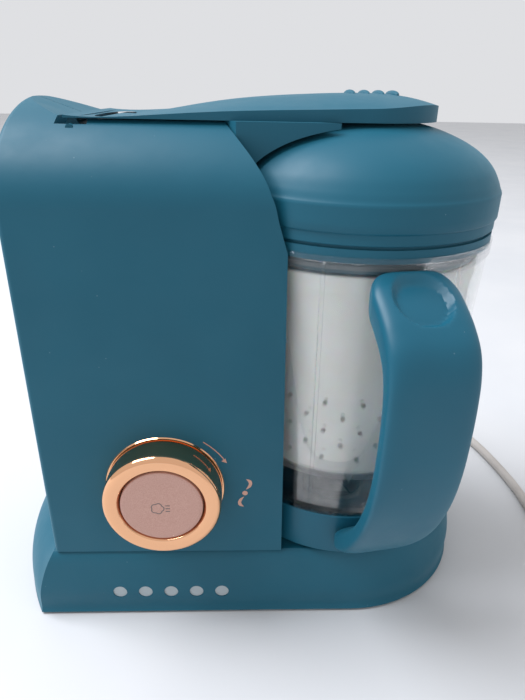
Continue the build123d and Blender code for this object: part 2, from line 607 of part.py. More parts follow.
def build_lid():
    """Make the lid's dome, its liner and its seal."""
    t = LID_WALL
    outside = dome_points(0)
    inside = dome_points(-t)
    tip, low = outside[-1], inside[0]
    top = Polyline(tip, (6.5, 0, tip[2]), (6.5, 0, tip[2] - t), inside[-1])
    step = LID_Z0 + 4.6
    foot = Polyline(low, (low[0], 0, LID_Z0), (LID_R - 0.9, 0, LID_Z0), (LID_R - 0.9, 0, step),
                    (LID_R, 0, step + 0.8), outside[0])
    dome = make_face([Spline(*outside), top, Spline(*inside), foot])
    keep("lid_dome", Pos(JUG_X, JUG_Y, 0) * revolve(dome, axis=Axis.Z))
    bore = JUG_R1 - JUG_WALL
    r = bore - 2.2
    skirt = RIM_Z - 6.0
    over = RIM_Z + 0.4
    lip = LID_R - t - 0.4
    plate = RIM_Z + 2.1
    keep("lid_liner", turned([(6.5, plate), (r - 2.2, plate), (r - 2.2, skirt), (r, skirt), (r, over),
                              (JUG_R1 + 0.4, over), (JUG_R1 + 0.4, LID_Z0 - 1.4), (lip, LID_Z0 - 1.4),
                              (lip, LID_Z0 + 2.5), (lip - 2.0, LID_Z0 + 2.5), (lip - 2.0, plate + 2.0),
                              (6.5, plate + 2.0)], JUG_X, JUG_Y))
    keep("lid_seal", tube(JUG_X, JUG_Y, RIM_Z - 3.9, RIM_Z - 1.5, r, bore - FIT - 0.6))


def build_jug():
    """Make the clear jug with its ribs, and the bush that carries the blades' shaft."""
    w = JUG_WALL
    bore_top = FLOOR_Z + FLOOR_T
    profile = [(BUSH_R, FLOOR_Z), (BOTTOM_R, FLOOR_Z), (BOTTOM_R, BAND_Z1), (JUG_R0, BAND_Z1),
               (JUG_R1, WALL_Z1), (JUG_R1 + FIT, RIM_Z), (JUG_R1 - w, RIM_Z), (JUG_R1 - w, WALL_Z1),
               (JUG_R0 - w, BAND_Z1 + 3), (BOTTOM_R - 6, bore_top), (BUSH_R + 2.5, bore_top),
               (BUSH_R + 2.5, BUSH_TOP - 1), (BUSH_R, BUSH_TOP - 1)]
    vessel = turned(profile, JUG_X, JUG_Y)
    z0 = BAND_Z1 + 10
    z1 = WALL_Z1 - 2
    low = wall_radius(z0) - w
    high = wall_radius(z1) - w
    rib_wire = Polyline((low - RIB_IN, 0, z0 + 6), (low + 0.8, 0, z0), (high + 0.8, 0, z1),
                        (high - RIB_IN, 0, z1 - 2), close=True)
    rib = extrude(make_face(rib_wire), amount=RIB_HALF, both=True)
    for place in ring_places(RIBS, 0, JUG_X, JUG_Y, RIB_START - 90):
        vessel = vessel + place * rib
    keep("jug_vessel", vessel)
    keep("blade_bush", tube(JUG_X, JUG_Y, FLOOR_Z - BUSH_DROP, BUSH_TOP, SPINDLE_R + RUN, BUSH_R - 0.1))


def grip_solid():
    """Return the grip as a crowned strap that springs from the band and stops short of the rim."""
    out = [(JUG_R1 + d, 0, BASE_TOP + share * JUG_H) for d, share in HANDLE_OUT]
    back = [(JUG_R1 + d, 0, BASE_TOP + share * JUG_H) for d, share in HANDLE_IN]
    face = make_face([Spline(*out), Line(out[-1], back[0]), Spline(*back), Line(back[-1], out[0])])
    grip = extrude(face, amount=0.5 * HANDLE_W, both=True)
    rims = grip.edges().filter_by(lambda e: abs(e.center().Y) > 0.5 * HANDLE_W - 0.5)
    grip = fillet(rims, HANDLE_EDGE)
    thumb = Pos(JUG_R1 + 24.5, 0, BASE_TOP + 0.905 * JUG_H) * Rot(0, 45, 0)
    grip = grip - thumb * scale(Sphere(1.0), by=(17.0, 13.0, 4.0))
    return Pos(JUG_X, JUG_Y, 0) * Rot(0, 0, HANDLE_AZ - 90) * grip


def build_handle():
    """Make the one moulding of the band, its bayonet tabs and the grip."""
    r_in = BAND_R - BAND_T
    band = turned([(r_in, BAND_Z0), (BAND_R - 1.2, BAND_Z0), (BAND_R, BAND_Z0 + 1.6),
                   (BAND_R, BAND_Z1 - 0.05), (r_in, BAND_Z1 - 0.05)], JUG_X, JUG_Y)
    tab_in = SEAT_R + TAB_IN
    tab_out = r_in + 0.5 * BAND_T
    tab = Pos(0.5 * (tab_in + tab_out), 0, TAB_Z + 0.5 * TAB_T) * Box(tab_out - tab_in, LUG_W - 1, TAB_T)
    tabs = [place * tab for place in ring_places(LUGS, 0, JUG_X, JUG_Y, LUG_START)]
    gap = JUG_R1 + 0.9
    clear = turned([(0, BAND_Z1), (JUG_R0 + 0.9, BAND_Z1), (gap, WALL_Z1), (gap + FIT, LID_Z0 + 20),
                    (0, LID_Z0 + 20)], JUG_X, JUG_Y)
    grip = grip_solid() - cyl(JUG_X, JUG_Y, 0, BAND_Z1, BAND_R - 0.6) - clear
    keep("jug_handle", band + tabs + grip)


def build_basket():
    """Make the perforated steam basket that hangs inside the jug."""
    g = JUG_WALL + BASKET_GAP + RIB_IN
    w = BASKET_WALL
    z0 = BASKET_Z0
    r0 = wall_radius(z0) - g
    r1 = wall_radius(BASKET_TOP) - g
    basket = turned([(0, z0), (r0 - 6, z0), (r0, z0 + 6), (r1, BASKET_TOP), (r1 - w, BASKET_TOP),
                     (r0 - w, z0 + 7), (r0 - 7, z0 + w), (0, z0 + w)], JUG_X, JUG_Y)
    holes = []
    for row in range(BASKET_ROWS):
        drill = Pos(r0, 0, z0 + 14 + row * ROW_STEP) * Rot(0, 90, 0) * Cylinder(HOLE_R, 10 * BASKET_WALL)
        for place in ring_places(BASKET_HOLES, 0, JUG_X, JUG_Y, row * 180.0 / BASKET_HOLES):
            holes.append(place * drill)
    for ring in (1, 2, 3):
        for place in ring_places(6 * ring, 12 * ring, JUG_X, JUG_Y):
            holes.append(place * Pos(0, 0, z0) * Cylinder(FLOOR_HOLE_R, 5 * w))
    keep("steam_basket", basket - holes)


# --- dial and button ----------------------------------------------------------------------------------------
HOLDER_Y = 10.5             # inner web that the button's stem slides in
WEB_T = 2.0
HOLDER_T = 6.0
STEM_END = 14.0
TRIM_OUT = 1.1              # how far the trim shows round the dial
TRIM_T = 0.6
SLEEVE_END = 9.0
CAP_SUNK = 1.0              # how far the button lies behind the dial's face
CAP_T = 2.4
CAP_H = 5.0
CAP_WALL = 1.6
SPRING_END = 1.2
DIAL_WIRE_R = 0.5
BUTTON_WIRE_R = 0.6
BOARD_Y = 24.0
BOARD_T = 1.6
BOARD_PARTS = [             # what stands on the board: place and size across, then its height
    (-20, 14, 12, 10, 9), (-4, 16, 9, 9, 12), (14, 15, 14, 8, 7), (-16, -18, 18, 12, 5),
    (8, -20, 10, 10, 14), (21, -14, 6, 8, 10),
]


def build_dial():
    """Make the turning dial, its trim and the holder behind the panel."""
    face = -DIAL_OUT
    end = SLEEVE_END
    keep("dial_ring", turned_y([(DIAL_BORE, end), (DIAL_SLEEVE, end), (DIAL_SLEEVE, -DIAL_GAP),
                                (DIAL_R, -DIAL_GAP), (DIAL_R, face + 2.2), (DIAL_R - 0.7, face + 0.8),
                                (DIAL_R - 2.2, face), (DIAL_BORE + 1.0, face + 0.7),
                                (DIAL_BORE, face + 1.6)], DIAL_X, DIAL_Z))
    inner = DIAL_SLEEVE + HOLE_GAP
    outer = DIAL_R + TRIM_OUT
    keep("dial_trim", turned_y([(inner, 0), (outer, 0), (outer - 0.4, -TRIM_T), (inner, -TRIM_T)],
                               DIAL_X, DIAL_Z))
    r = DIAL_SLEEVE + RUN
    web = HOLDER_Y + WEB_T
    rim = r + HOLDER_T
    keep("dial_holder", turned_y([(r, TOWER_WALL), (rim, TOWER_WALL), (rim, web), (STEM_R + RUN, web),
                                  (STEM_R + RUN, HOLDER_Y), (r, HOLDER_Y)], DIAL_X, DIAL_Z))
    coil = Helix(pitch=1.6, height=4.0, radius=DIAL_SLEEVE)
    wire = sweep(Plane(coil @ 0, z_dir=coil % 0) * Circle(DIAL_WIRE_R), path=coil)
    keep("dial_spring", Pos(DIAL_X, web + 5.2, DIAL_Z) * Rot(90, 0, 0) * wire)


def build_button():
    """Make the steam button, its spring, the switches behind it and the control board."""
    face = -DIAL_OUT + CAP_SUNK
    web = face + CAP_T
    r = BUTTON_R
    skirt = face + CAP_H
    keep("steam_button", turned_y([(0, face), (r - 1.2, face + 0.2), (r, face + 1.2), (r, skirt),
                                   (r - CAP_WALL, skirt), (r - CAP_WALL, web), (STEM_R, web),
                                   (STEM_R, STEM_END), (0, STEM_END)], DIAL_X, DIAL_Z))
    start = web + BUTTON_TRAVEL + SPRING_END
    end = HOLDER_Y - SPRING_END
    coil = Helix(pitch=3.2, height=end - start, radius=STEM_R + CAP_WALL)
    wire = sweep(Plane(coil @ 0, z_dir=coil % 0) * Circle(BUTTON_WIRE_R), path=coil)
    keep("button_spring", Pos(DIAL_X, end, DIAL_Z) * Rot(90, 0, 0) * wire)
    pin = STEM_END + BUTTON_TRAVEL + FIT
    steam = box(DIAL_X - 6, DIAL_X + 6, pin, BOARD_Y, DIAL_Z - 4, DIAL_Z + 4)
    blend = box(DIAL_X + 9, DIAL_X + 19, pin + 3, BOARD_Y, DIAL_Z - 4, DIAL_Z + 4)
    keep("micro_switches", [steam, blend])
    top = BOARD_Y + BOARD_T
    board = box(DIAL_X - 30, DIAL_X + 26, BOARD_Y, top, DIAL_Z - 32, DIAL_Z + 26)
    for x, z, wide, tall, high in BOARD_PARTS:
        x0 = DIAL_X + x - 0.5 * wide
        z0 = DIAL_Z + z - 0.5 * tall
        board = board + box(x0, x0 + wide, top, top + high, z0, z0 + tall)
    keep("control_board", board)


# --- drive ----------------------------------------------------------------------------------------------------
FLANGE_T = 1.2
PULLEY_Z0 = BELT_Z - 0.5
PULLEY_Z1 = BELT_Z + BELT_W + 0.5
CUP_Z = BASE_TOP + 10.2
HUB_Z = BUSH_TOP + 0.4
BLADE_L = 33.0
BLADE_T = 1.2
BLADE_ROOT = 8.6
BLADE_TILTS = (9, -6, 9, -6)
BLADE_LIFTS = (1.4, 1.2, 1.4, 1.2)
HUB_R = 9.5
COUPLING_R = 8.0
CUP_R = 15.0
CUP_BORE = 11.6
CUP_T = 6.0
STAR_ARMS = 6
LIGHTENING = 6              # holes in the drive pulley's web
LIGHTENING_R = 2.6


def pulley_radius(teeth):
    """Return the outside radius of a toothed pulley."""
    return teeth * PITCH / (2 * math.pi) - 0.4


def toothed(x, y, teeth, bore):
    """Return a belt pulley with straight grooves and two flanges."""
    r = pulley_radius(teeth)
    z0, z1 = PULLEY_Z0, PULLEY_Z1
    groove = Pos(0, 0, 0.5 * (z0 + z1)) * Box(1.6, 1.3, z1 - z0 + 1)
    body = cyl(x, y, z0, z1, r) - [place * groove for place in ring_places(teeth, r, x, y)]
    body = body + cyl(x, y, z0 - FLANGE_T, z0, r + 1.4) + cyl(x, y, z1, z1 + FLANGE_T, r + 1.4)
    return body - cyl(x, y, z0 - 2, z1 + 2, bore)


def belt_loop(r_a, r_b, z0, z1):
    """Return the solid inside a line round both pulleys."""
    dx = MOTOR_X - JUG_X
    dy = MOTOR_Y - JUG_Y
    lean = math.asin((r_a - r_b) / math.hypot(dx, dy))
    heading = math.atan2(dy, dx)
    ends = []
    for sign in (1, -1):
        a = heading + sign * (0.5 * math.pi - lean)
        big = (JUG_X + r_a * math.cos(a), JUG_Y + r_a * math.sin(a), z0)
        small = (MOTOR_X + r_b * math.cos(a), MOTOR_Y + r_b * math.sin(a), z0)
        ends.extend([big, small] if sign == 1 else [small, big])
    flat = extrude(make_face(Polyline(*ends, close=True)), amount=z1 - z0, dir=(0, 0, 1))
    return cyl(JUG_X, JUG_Y, z0, z1, r_a) + cyl(MOTOR_X, MOTOR_Y, z0, z1, r_b) + flat


def build_belt():
    """Make the two pulleys and the belt between them."""
    keep("motor_pulley", toothed(MOTOR_X, MOTOR_Y, MOTOR_TEETH, SHAFT_R))
    pulley = toothed(JUG_X, JUG_Y, DRIVE_TEETH, SPINDLE_R)
    for place in ring_places(LIGHTENING, 3 * SPINDLE_R, JUG_X, JUG_Y):
        pulley = pulley - place * cyl(0, 0, PULLEY_Z0 - 2, PULLEY_Z1 + 2, LIGHTENING_R)
    keep("drive_pulley", pulley)
    r_a = pulley_radius(DRIVE_TEETH) + FIT
    r_b = pulley_radius(MOTOR_TEETH) + FIT
    belt = belt_loop(r_a + BELT_T, r_b + BELT_T, BELT_Z, BELT_Z + BELT_W)
    keep("drive_belt", belt - belt_loop(r_a, r_b, BELT_Z - 1, BELT_Z + BELT_W + 1))


def build_spindle():
    """Make the drive shaft with its coupling and the blade shaft with its cup, hub and blades."""
    joint = CUP_Z + 3.0
    keep("drive_shaft", cyl(JUG_X, JUG_Y, PULLEY_Z0 - 4, joint, SPINDLE_R))
    keep("blade_shaft", cyl(JUG_X, JUG_Y, joint, HUB_Z + 6, SPINDLE_R))
    ceiling = BASE_TOP - BASE_WALL
    seat = tube(JUG_X, JUG_Y, PULLEY_Z1 + 3, BASE_TOP + 1.0, SPINDLE_R + RUN, BEARING_R - RUN)
    flange = tube(JUG_X, JUG_Y, ceiling - 2.2, ceiling, SPINDLE_R + RUN, BEARING_R + 6)
    keep("spindle_bearing", seat + flange)
    star = tube(JUG_X, JUG_Y, BASE_TOP + 2, CUP_Z - 0.2, SPINDLE_R, COUPLING_R)
    arm = Pos(0, 0, BASE_TOP + 6) * Box(5, 3.2, 8)
    arms = [place * arm for place in ring_places(STAR_ARMS, COUPLING_R + 0.5, JUG_X, JUG_Y)]
    keep("drive_coupling", star + arms)
    cup = tube(JUG_X, JUG_Y, CUP_Z, CUP_Z + CUP_T, SPINDLE_R, CUP_R)
    keep("driven_cup", cup + tube(JUG_X, JUG_Y, BASE_TOP + 4, CUP_Z + 0.5, CUP_BORE, CUP_R))
    z = HUB_Z
    keep("blade_hub", turned([(SPINDLE_R, z), (HUB_R, z), (HUB_R - 0.5, z + 5), (HUB_R - 4, z + 8),
                              (0.0, z + 9), (0.0, z + 6), (SPINDLE_R, z + 6)], JUG_X, JUG_Y))
    keep("blades", blade_set())


def blade_set():
    """Return four curved steel blades, two swept up and two swept down, on one ring."""
    ring_r = HUB_R + 0.1
    blades = [tube(JUG_X, JUG_Y, HUB_Z + 0.6, HUB_Z + 3.4, ring_r, ring_r + 1.8)]
    edge = Spline((0, 5.0), (0.53 * BLADE_L, 6.5), (BLADE_L, 0.5))
    back = Spline((BLADE_L, 0.5), (0.53 * BLADE_L, -2.0), (0, -5.0))
    blade = extrude(make_face([edge, back, Line((0, -5.0), (0, 5.0))]), amount=BLADE_T)
    for i, (tilt, up) in enumerate(zip(BLADE_TILTS, BLADE_LIFTS)):
        place = Pos(JUG_X, JUG_Y, HUB_Z + up) * Rot(0, 0, 90 * i) * Pos(BLADE_ROOT, 0, 0)
        blades.append(place * Rot(0, -tilt, 0) * blade - cyl(JUG_X, JUG_Y, 0, FAR, ring_r))
    ring = blades[0]
    for blade in blades[1:]:
        ring = ring + blade
    return ring


MOTOR_UP = 4.0              # lower bearing above the deck
FAN_ROOM = 17.0             # from the lower bearing to the stator
BRUSH_ROOM = 16.0           # from the stator to the upper bearing
STATOR_BORE = 16.0
WINDING_H = 8.0
BEARING_T = 4.0
MOTOR_BEARING_R = 7.0
AIR_GAP = 0.6
ARMATURE_SLOTS = 12
FRAME_HALF = 10.0
FRAME_T = 3.0
FAN_R = 12.0
VANES = 8


def build_motor():
    """Make the motor above the base: stator, windings, rotor, bearings and bracket."""
    x, y = MOTOR_X, MOTOR_Y
    floor = BASE_TOP + MOTOR_UP
    stack0 = floor + FAN_ROOM
    stack1 = stack0 + STACK_H
    top = stack1 + BRUSH_ROOM
    bore = STATOR_BORE
    stator = box(x - MOTOR_R, x + MOTOR_R, y - MOTOR_R, y + MOTOR_R, stack0, stack1)
    stator = fillet(stator.edges().filter_by(Axis.Z), 8)
    keep("motor_stator", stator - cyl(x, y, 0, FAR, bore))
    keep("motor_windings", [tube(x, y, stack1, stack1 + WINDING_H, bore + 0.5, MOTOR_R - 3),
                            tube(x, y, stack0 - WINDING_H, stack0, bore + 0.5, MOTOR_R - 3)])
    keep("motor_shaft", cyl(x, y, BELT_Z - 4, top + 8, SHAFT_R))
    core = tube(x, y, stack0 - 1, stack1 + 1, SHAFT_R, bore - AIR_GAP)
    slot = Pos(0, 0, 0.5 * (stack0 + stack1)) * Box(7, 1.6, 2 * STACK_H)
    keep("motor_armature", core - [place * slot for place in ring_places(ARMATURE_SLOTS, bore - 2.5, x, y)])
    keep("motor_commutator", tube(x, y, stack1 + 5, top - 3, SHAFT_R, 8))
    keep("motor_bearings", [tube(x, y, floor, floor + BEARING_T, SHAFT_R + RUN, MOTOR_BEARING_R),
                            tube(x, y, top, top + BEARING_T, SHAFT_R + RUN, MOTOR_BEARING_R)])
    side = MOTOR_R + 5
    y0 = y - FRAME_HALF
    y1 = y + FRAME_HALF
    frame = box(x - side, x + side, y0, y1, floor, floor + FRAME_T)
    frame = frame + box(x - side, x + side, y0, y1, top, top + FRAME_T)
    for s in (-1, 1):
        frame = frame + box(x + s * side - 1, x + s * side + 1, y0, y1, floor, top + FRAME_T)
        frame = frame + box(x + s * (side - 2.5) - 2.5, x + s * (side - 2.5) + 2.5, y - 8, y + 8,
                            stack0 + 4, stack1 - 4)
        frame = frame + box(x + s * (side - 3) - 3, x + s * (side - 3) + 3, y - 9, y + 9, BASE_TOP, floor)
    keep("motor_bracket", frame - cyl(x, y, 0, FAR, MOTOR_BEARING_R))
    fan = tube(x, y, floor + 5.0, floor + 6.5, SHAFT_R, FAN_R)
    vane = Pos(0, 0, floor + 5.2) * Rot(0, 0, 25) * Box(8, 1.0, 1.8)
    keep("motor_fan", fan + [place * vane for place in ring_places(VANES, FAN_R - 4, x, y)])


# --- boiler -----------------------------------------------------------------------------------------------------
def build_boiler():
    """Make the boiler, its collar, heater, temperature switches and strap."""
    x, y, w, r = BOILER_X, TOWER_MID, BOILER_WALL, BOILER_R
    z0, z1 = BOILER_Z0, BOILER_Z1
    tank = turned([(0, z0), (r - 6, z0), (r, z0 + 6), (r, z1 - 2), (r - 2, z1), (0, z1), (0, z1 - w),
                   (r - 2 - w, z1 - w), (r - w, z1 - 2 - w), (r - w, z0 + 7), (r - 7, z0 + w),
                   (0, z0 + w)], x, y)
    keep("boiler_tank", tank - cyl(MOUTH_X, y, z1 - 5, z1 + 5, MOUTH_R))
    keep("boiler_collar", tube(MOUTH_X, y, z1, DECK_Z, MOUTH_R, MOUTH_R + COLLAR_T))
    plate = z0 - HEATER_T
    keep("heater_plate", cyl(x, y, plate, z0, r - 7))
    ends = [cyl(x + 20, y + s * 5, plate - 17, plate - 3, 1.5) for s in (-1, 1)]
    ring = Pos(x, y, plate - 3) * Torus(20, 3.0)
    keep("heater_element", ring + ends)
    keep("thermostat", cyl(x, y, plate - 10, plate, 8) + box(x - 3, x + 3, y - 1, y + 1, plate - 18,
                                                             plate - 10))
    keep("thermal_fuse", box(x - 2.5, x + 2.5, y + 10.0, y + 14.5, plate - 3, plate))
    strap_z = z0 + 20
    strap = tube(x, y, strap_z, strap_z + 6, r, r + 1.5)
    for s in (-1, 1):
        ear = box(x - 6, x + 6, y + s * (r + 1), y + s * (TOWER_MID - TOWER_WALL), strap_z, strap_z + 6)
        strap = strap + ear
    keep("boiler_strap", strap)


# --- mains cord ---------------------------------------------------------------------------------------------------
def cord_tube(points):
    """Return the tube and its path: runs joined by arcs as large as the runs allow."""
    radii = []
    for i in range(1, len(points) - 1):
        a = Vector(*points[i]) - Vector(*points[i - 1])
        b = Vector(*points[i + 1]) - Vector(*points[i])
        turn = math.radians(a.get_angle(b))
        radii.append(0.45 * min(a.length, b.length) / math.tan(0.5 * turn))
    path = FilletPolyline(*points, radius=radii)
    solid = sweep(Plane(path @ 0, z_dir=path % 0) * Circle(0.5 * CORD_D), path=path)
    share = solid.volume / (math.pi * CORD_D ** 2 / 4 * path.length)
    print("cord radii", [round(v, 1) for v in radii], "length", round(path.length, 1), round(share, 4))
    return solid


def build_cord():
    """Make the mains cord with its strain relief, clamp, coil and plug."""
    wall_in = BASE_BACK - BASE_WALL - BASE_FLARE
    tip = CORD_POINTS[0][1]
    root = RELIEF_R - 0.2
    keep("strain_relief", turned_y([(0, wall_in), (FLANGE_R, wall_in), (FLANGE_R, wall_in + FLANGE_W),
                                    (root, wall_in + FLANGE_W), (root, BASE_BACK + 2),
                                    (0.5 * CORD_D + 1.1, tip), (0, tip)], CORD_X, CORD_Z))
    keep("cord_clamp", box(CORD_X - CLAMP_HALF, CORD_X + CLAMP_HALF, wall_in - 12, wall_in - 2,
                           BASE_Z + PLATE_T, CORD_Z + 5))
    keep("power_cord", [cord_tube(CORD_POINTS), cord_tube(PLUG_POINTS)])
    wide = COIL_WIDE * CORD_D
    high = COIL_HIGH * CORD_D
    section = Pos(COIL_R, 0.5 * high) * RectangleRounded(wide, high, 0.45 * CORD_D)
    keep("cord_coil", Pos(COIL_X, COIL_Y, 0) * revolve(Plane.XZ * section, axis=Axis.Z))
    rear_x, rear_y, rear_z = PLUG_POINTS[-1]
    body = Pos(rear_x, rear_y + 0.5 * PLUG_L, rear_z) * Box(PLUG_W, PLUG_L, PLUG_T)
    keep("plug_body", fillet(body.edges().filter_by(Axis.Y), 4.5))
    face = rear_y + PLUG_L
    pins = [cyl_y(rear_x + s * PIN_APART, rear_z, face, face + PIN_L, PIN_R) for s in (-1, 1)]
    keep("plug_pins", pins)


def build_all():
    """Make every piece."""
    build_housing()
    build_underside()
    build_indicators()
    build_tower()
    build_cover()
    build_steam_path()
    build_lid()
    build_jug()
    build_handle()
    build_basket()
    build_dial()
    build_button()
    build_belt()
    build_spindle()
    build_motor()
    build_boiler()
    build_cord()


CORD_NODES = ("power_cord", "cord_coil", "plug_body", "plug_pins")


def write_all():
    """Move the set to its origin and write one file for each piece."""
    os.makedirs("parts", exist_ok=True)
    groups = {}
    for name, shape in nodes.items():
        groups[name] = Compound(children=list(shape)) if isinstance(shape, list) else shape
    boxes = [group.bounding_box() for name, group in groups.items() if name not in CORD_NODES]
    x = 0.5 * (min(b.min.X for b in boxes) + max(b.max.X for b in boxes))
    y = 0.5 * (min(b.min.Y for b in boxes) + max(b.max.Y for b in boxes))
    print("moved by", -x, -y, "top", max(b.max.Z for b in boxes), "nodes", len(groups))
    for name, group in groups.items():
        export_step(Pos(-x, -y, 0) * group, f"parts/{name}.step")


build_all()
write_all()
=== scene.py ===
import math

import bmesh
import bpy
from mathutils import Matrix, Vector


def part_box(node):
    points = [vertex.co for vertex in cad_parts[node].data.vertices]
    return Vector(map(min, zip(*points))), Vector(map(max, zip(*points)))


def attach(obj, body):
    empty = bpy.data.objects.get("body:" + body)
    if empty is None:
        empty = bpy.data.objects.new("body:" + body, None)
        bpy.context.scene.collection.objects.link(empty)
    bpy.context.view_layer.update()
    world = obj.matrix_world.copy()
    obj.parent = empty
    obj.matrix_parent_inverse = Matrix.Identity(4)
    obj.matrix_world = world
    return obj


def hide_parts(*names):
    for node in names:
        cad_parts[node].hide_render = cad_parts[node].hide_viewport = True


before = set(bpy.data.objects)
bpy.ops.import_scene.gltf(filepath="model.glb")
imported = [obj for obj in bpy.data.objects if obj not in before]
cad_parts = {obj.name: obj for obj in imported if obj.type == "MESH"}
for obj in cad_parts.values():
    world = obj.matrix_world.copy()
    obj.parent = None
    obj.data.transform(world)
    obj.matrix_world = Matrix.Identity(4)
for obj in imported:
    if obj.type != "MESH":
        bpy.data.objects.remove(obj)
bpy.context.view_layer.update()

bl_info = {
    "name": "Baby Food Maker",
    "version": (1, 0, 0),
    "blender": (4, 5, 0),
    "location": "View3D > Sidebar > Food Maker",
    "description": "Finishes and fine shapes of a steam cooker and blender, built round its CAD model",
    "category": "Add Mesh",
}

MM = 0.001
PANEL_LOW, PANEL_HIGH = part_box("front_shell")
LID_LOW, LID_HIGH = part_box("lid_dome")
JUG_LOW, JUG_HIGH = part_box("jug_vessel")
DIAL_LOW, DIAL_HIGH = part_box("dial_ring")
BUTTON_LOW, BUTTON_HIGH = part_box("steam_button")
HANDLE_LOW, HANDLE_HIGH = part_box("jug_handle")
RELIEF_LOW, RELIEF_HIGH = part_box("strain_relief")
JUG_X = 0.5 * (LID_LOW.x + LID_HIGH.x)
JUG_Y = 0.5 * (LID_LOW.y + LID_HIGH.y)
DECK_Z = PANEL_LOW.z                        # the deck that the tower and the jug stand on
JUG_H = JUG_HIGH.z - DECK_Z
JUG_R = 0.5 * (JUG_HIGH.x - JUG_LOW.x) - 0.3 * MM
LID_R = 0.5 * (LID_HIGH.x - LID_LOW.x)
DIAL_X = 0.5 * (DIAL_LOW.x + DIAL_HIGH.x)
DIAL_Z = 0.5 * (DIAL_LOW.z + DIAL_HIGH.z)
PANEL_Y = PANEL_LOW.y


# --- colours and materials -----------------------------------------------------------------------------
def linear(hex_colour):
    """Turn an sRGB hex colour into linear red, green, blue and alpha."""
    channels = []
    for i in (0, 2, 4):
        c = int(hex_colour[i:i + 2], 16) / 255
        channels.append(c / 12.92 if c <= 0.04045 else ((c + 0.055) / 1.055) ** 2.4)
    return (*channels, 1.0)


def add_node(material, kind, inputs=None, **settings):
    """Add one node, apply its settings, and set or link its inputs."""
    tree = material.node_tree
    node = tree.nodes.new(kind)
    for name, value in settings.items():
        setattr(node, name, value)
    for key, value in (inputs or {}).items():
        if isinstance(value, bpy.types.NodeSocket):
            tree.links.new(value, node.inputs[key])
        else:
            node.inputs[key].default_value = value
    return node


def new_material(name, constants):
    """Return an empty material and its shader, with the constants set on the shader's own sockets."""
    material = bpy.data.materials.new(name)
    material.use_nodes = True
    material.node_tree.nodes.clear()
    shader = add_node(material, "ShaderNodeBsdfPrincipled", constants)
    add_node(material, "ShaderNodeOutputMaterial", {"Surface": shader.outputs["BSDF"]})
    return material, shader


def object_points(material):
    """Return the socket that gives places on the piece in metres."""
    return add_node(material, "ShaderNodeTexCoord").outputs["Object"]


def noise_value(material, size, detail=3.0, rough=0.55):
    """Return noise whose features are about size metres across."""
    node = add_node(material, "ShaderNodeTexNoise",
                    {"Vector": object_points(material), "Scale": 1 / size, "Detail": detail,
                     "Roughness": rough})
    return node.outputs["Fac"]


def spread(material, value, low, high, start=0.3, end=0.7):
    """Map a noise value onto the range from low to high."""
    node = add_node(material, "ShaderNodeMapRange",
                    {"Value": value, "From Min": start, "From Max": end, "To Min": low, "To Max": high})
    return node.outputs["Result"]


def blend_colours(material, factor, first, second):
    """Mix two colours by a factor."""
    node = add_node(material, "ShaderNodeMix", {0: factor, 6: first, 7: second}, data_type="RGBA")
    return node.outputs[2]


def link(material, output, shader, name):
    """Link an output to a shader's socket."""
    material.node_tree.links.new(output, shader.inputs[name])


def relief(material, shader, height, depth, strength=1.0):
    """Press a height pattern into the surface, depth in metres."""
    node = add_node(material, "ShaderNodeBump",
                    {"Height": height, "Distance": depth, "Strength": strength})
    link(material, node.outputs["Normal"], shader, "Normal")


def soft_touch_abs(name, colour, pale, rough):
    """Moulded ABS under a rubbery soft-touch lacquer: broad dull highlights, a faint bloom and dust."""
    material, shader = new_material(name, {"IOR": 1.5, "Specular IOR Level": 0.34, "Sheen Weight": 0.22,
                                           "Sheen Roughness": 0.45, "Sheen Tint": linear("5FA0B4")})
    cloudy = spread(material, noise_value(material, 55 * MM), 0.0, 0.22)
    body = blend_colours(material, cloudy, colour, pale)
    specks = add_node(material, "ShaderNodeTexVoronoi",
                      {"Vector": object_points(material), "Scale": 1 / (9 * MM)})
    dust = spread(material, specks.outputs["Distance"], 0.35, 0.0, 0.015, 0.035)
    link(material, blend_colours(material, dust, body, linear("9FB4BA")), shader, "Base Color")
    smears = noise_value(material, 18 * MM, 4.0)
    link(material, spread(material, smears, rough - 0.05, rough + 0.06), shader, "Roughness")
    grain = noise_value(material, 0.7 * MM, 2.0)      # real grain is near 0.1 mm; drawn coarser to show
    relief(material, shader, grain, 0.03 * MM, 0.35)
    return material


def rose_gold_plating():
    """Zinc ring plated in rose gold: a mirror with a warm tint and very fine polishing haze."""
    material, shader = new_material("rose_gold_plating", {"Metallic": 1.0, "Base Color": linear("F0B78D")})
    haze = noise_value(material, 6 * MM, 4.0)
    link(material, spread(material, haze, 0.07, 0.13), shader, "Roughness")
    ripple = noise_value(material, 9 * MM, 1.0)
    relief(material, shader, ripple, 0.02 * MM, 0.4)
    return material


def satin_rose_paint():
    """Moulded ABS sprayed in a matt metallic rose paint: soft even sheen with fine flakes."""
    material, shader = new_material("satin_rose_paint", {"Metallic": 0.35, "IOR": 1.5})
    flakes = noise_value(material, 0.5 * MM, 2.0)     # flakes are near 0.05 mm; drawn coarser to show
    tone = blend_colours(material, spread(material, flakes, 0.0, 1.0), linear("B98E81"), linear("C8A092"))
    link(material, tone, shader, "Base Color")
    link(material, spread(material, noise_value(material, 12 * MM), 0.42, 0.52), shader, "Roughness")
    relief(material, shader, flakes, 0.01 * MM, 0.3)
    return material


def clear_copolyester():
    """Blow-moulded clear copolyester: glassy, with slow ripples and a little wash haze."""
    material, shader = new_material("clear_copolyester", {"IOR": 1.54, "Transmission Weight": 1.0,
                                                          "Alpha": 0.42,
                                                          "Base Color": linear("FAFBFA")})
    link(material, spread(material, noise_value(material, 30 * MM), 0.02, 0.07), shader, "Roughness")
    relief(material, shader, noise_value(material, 22 * MM, 1.0), 0.05 * MM, 0.25)
    return material


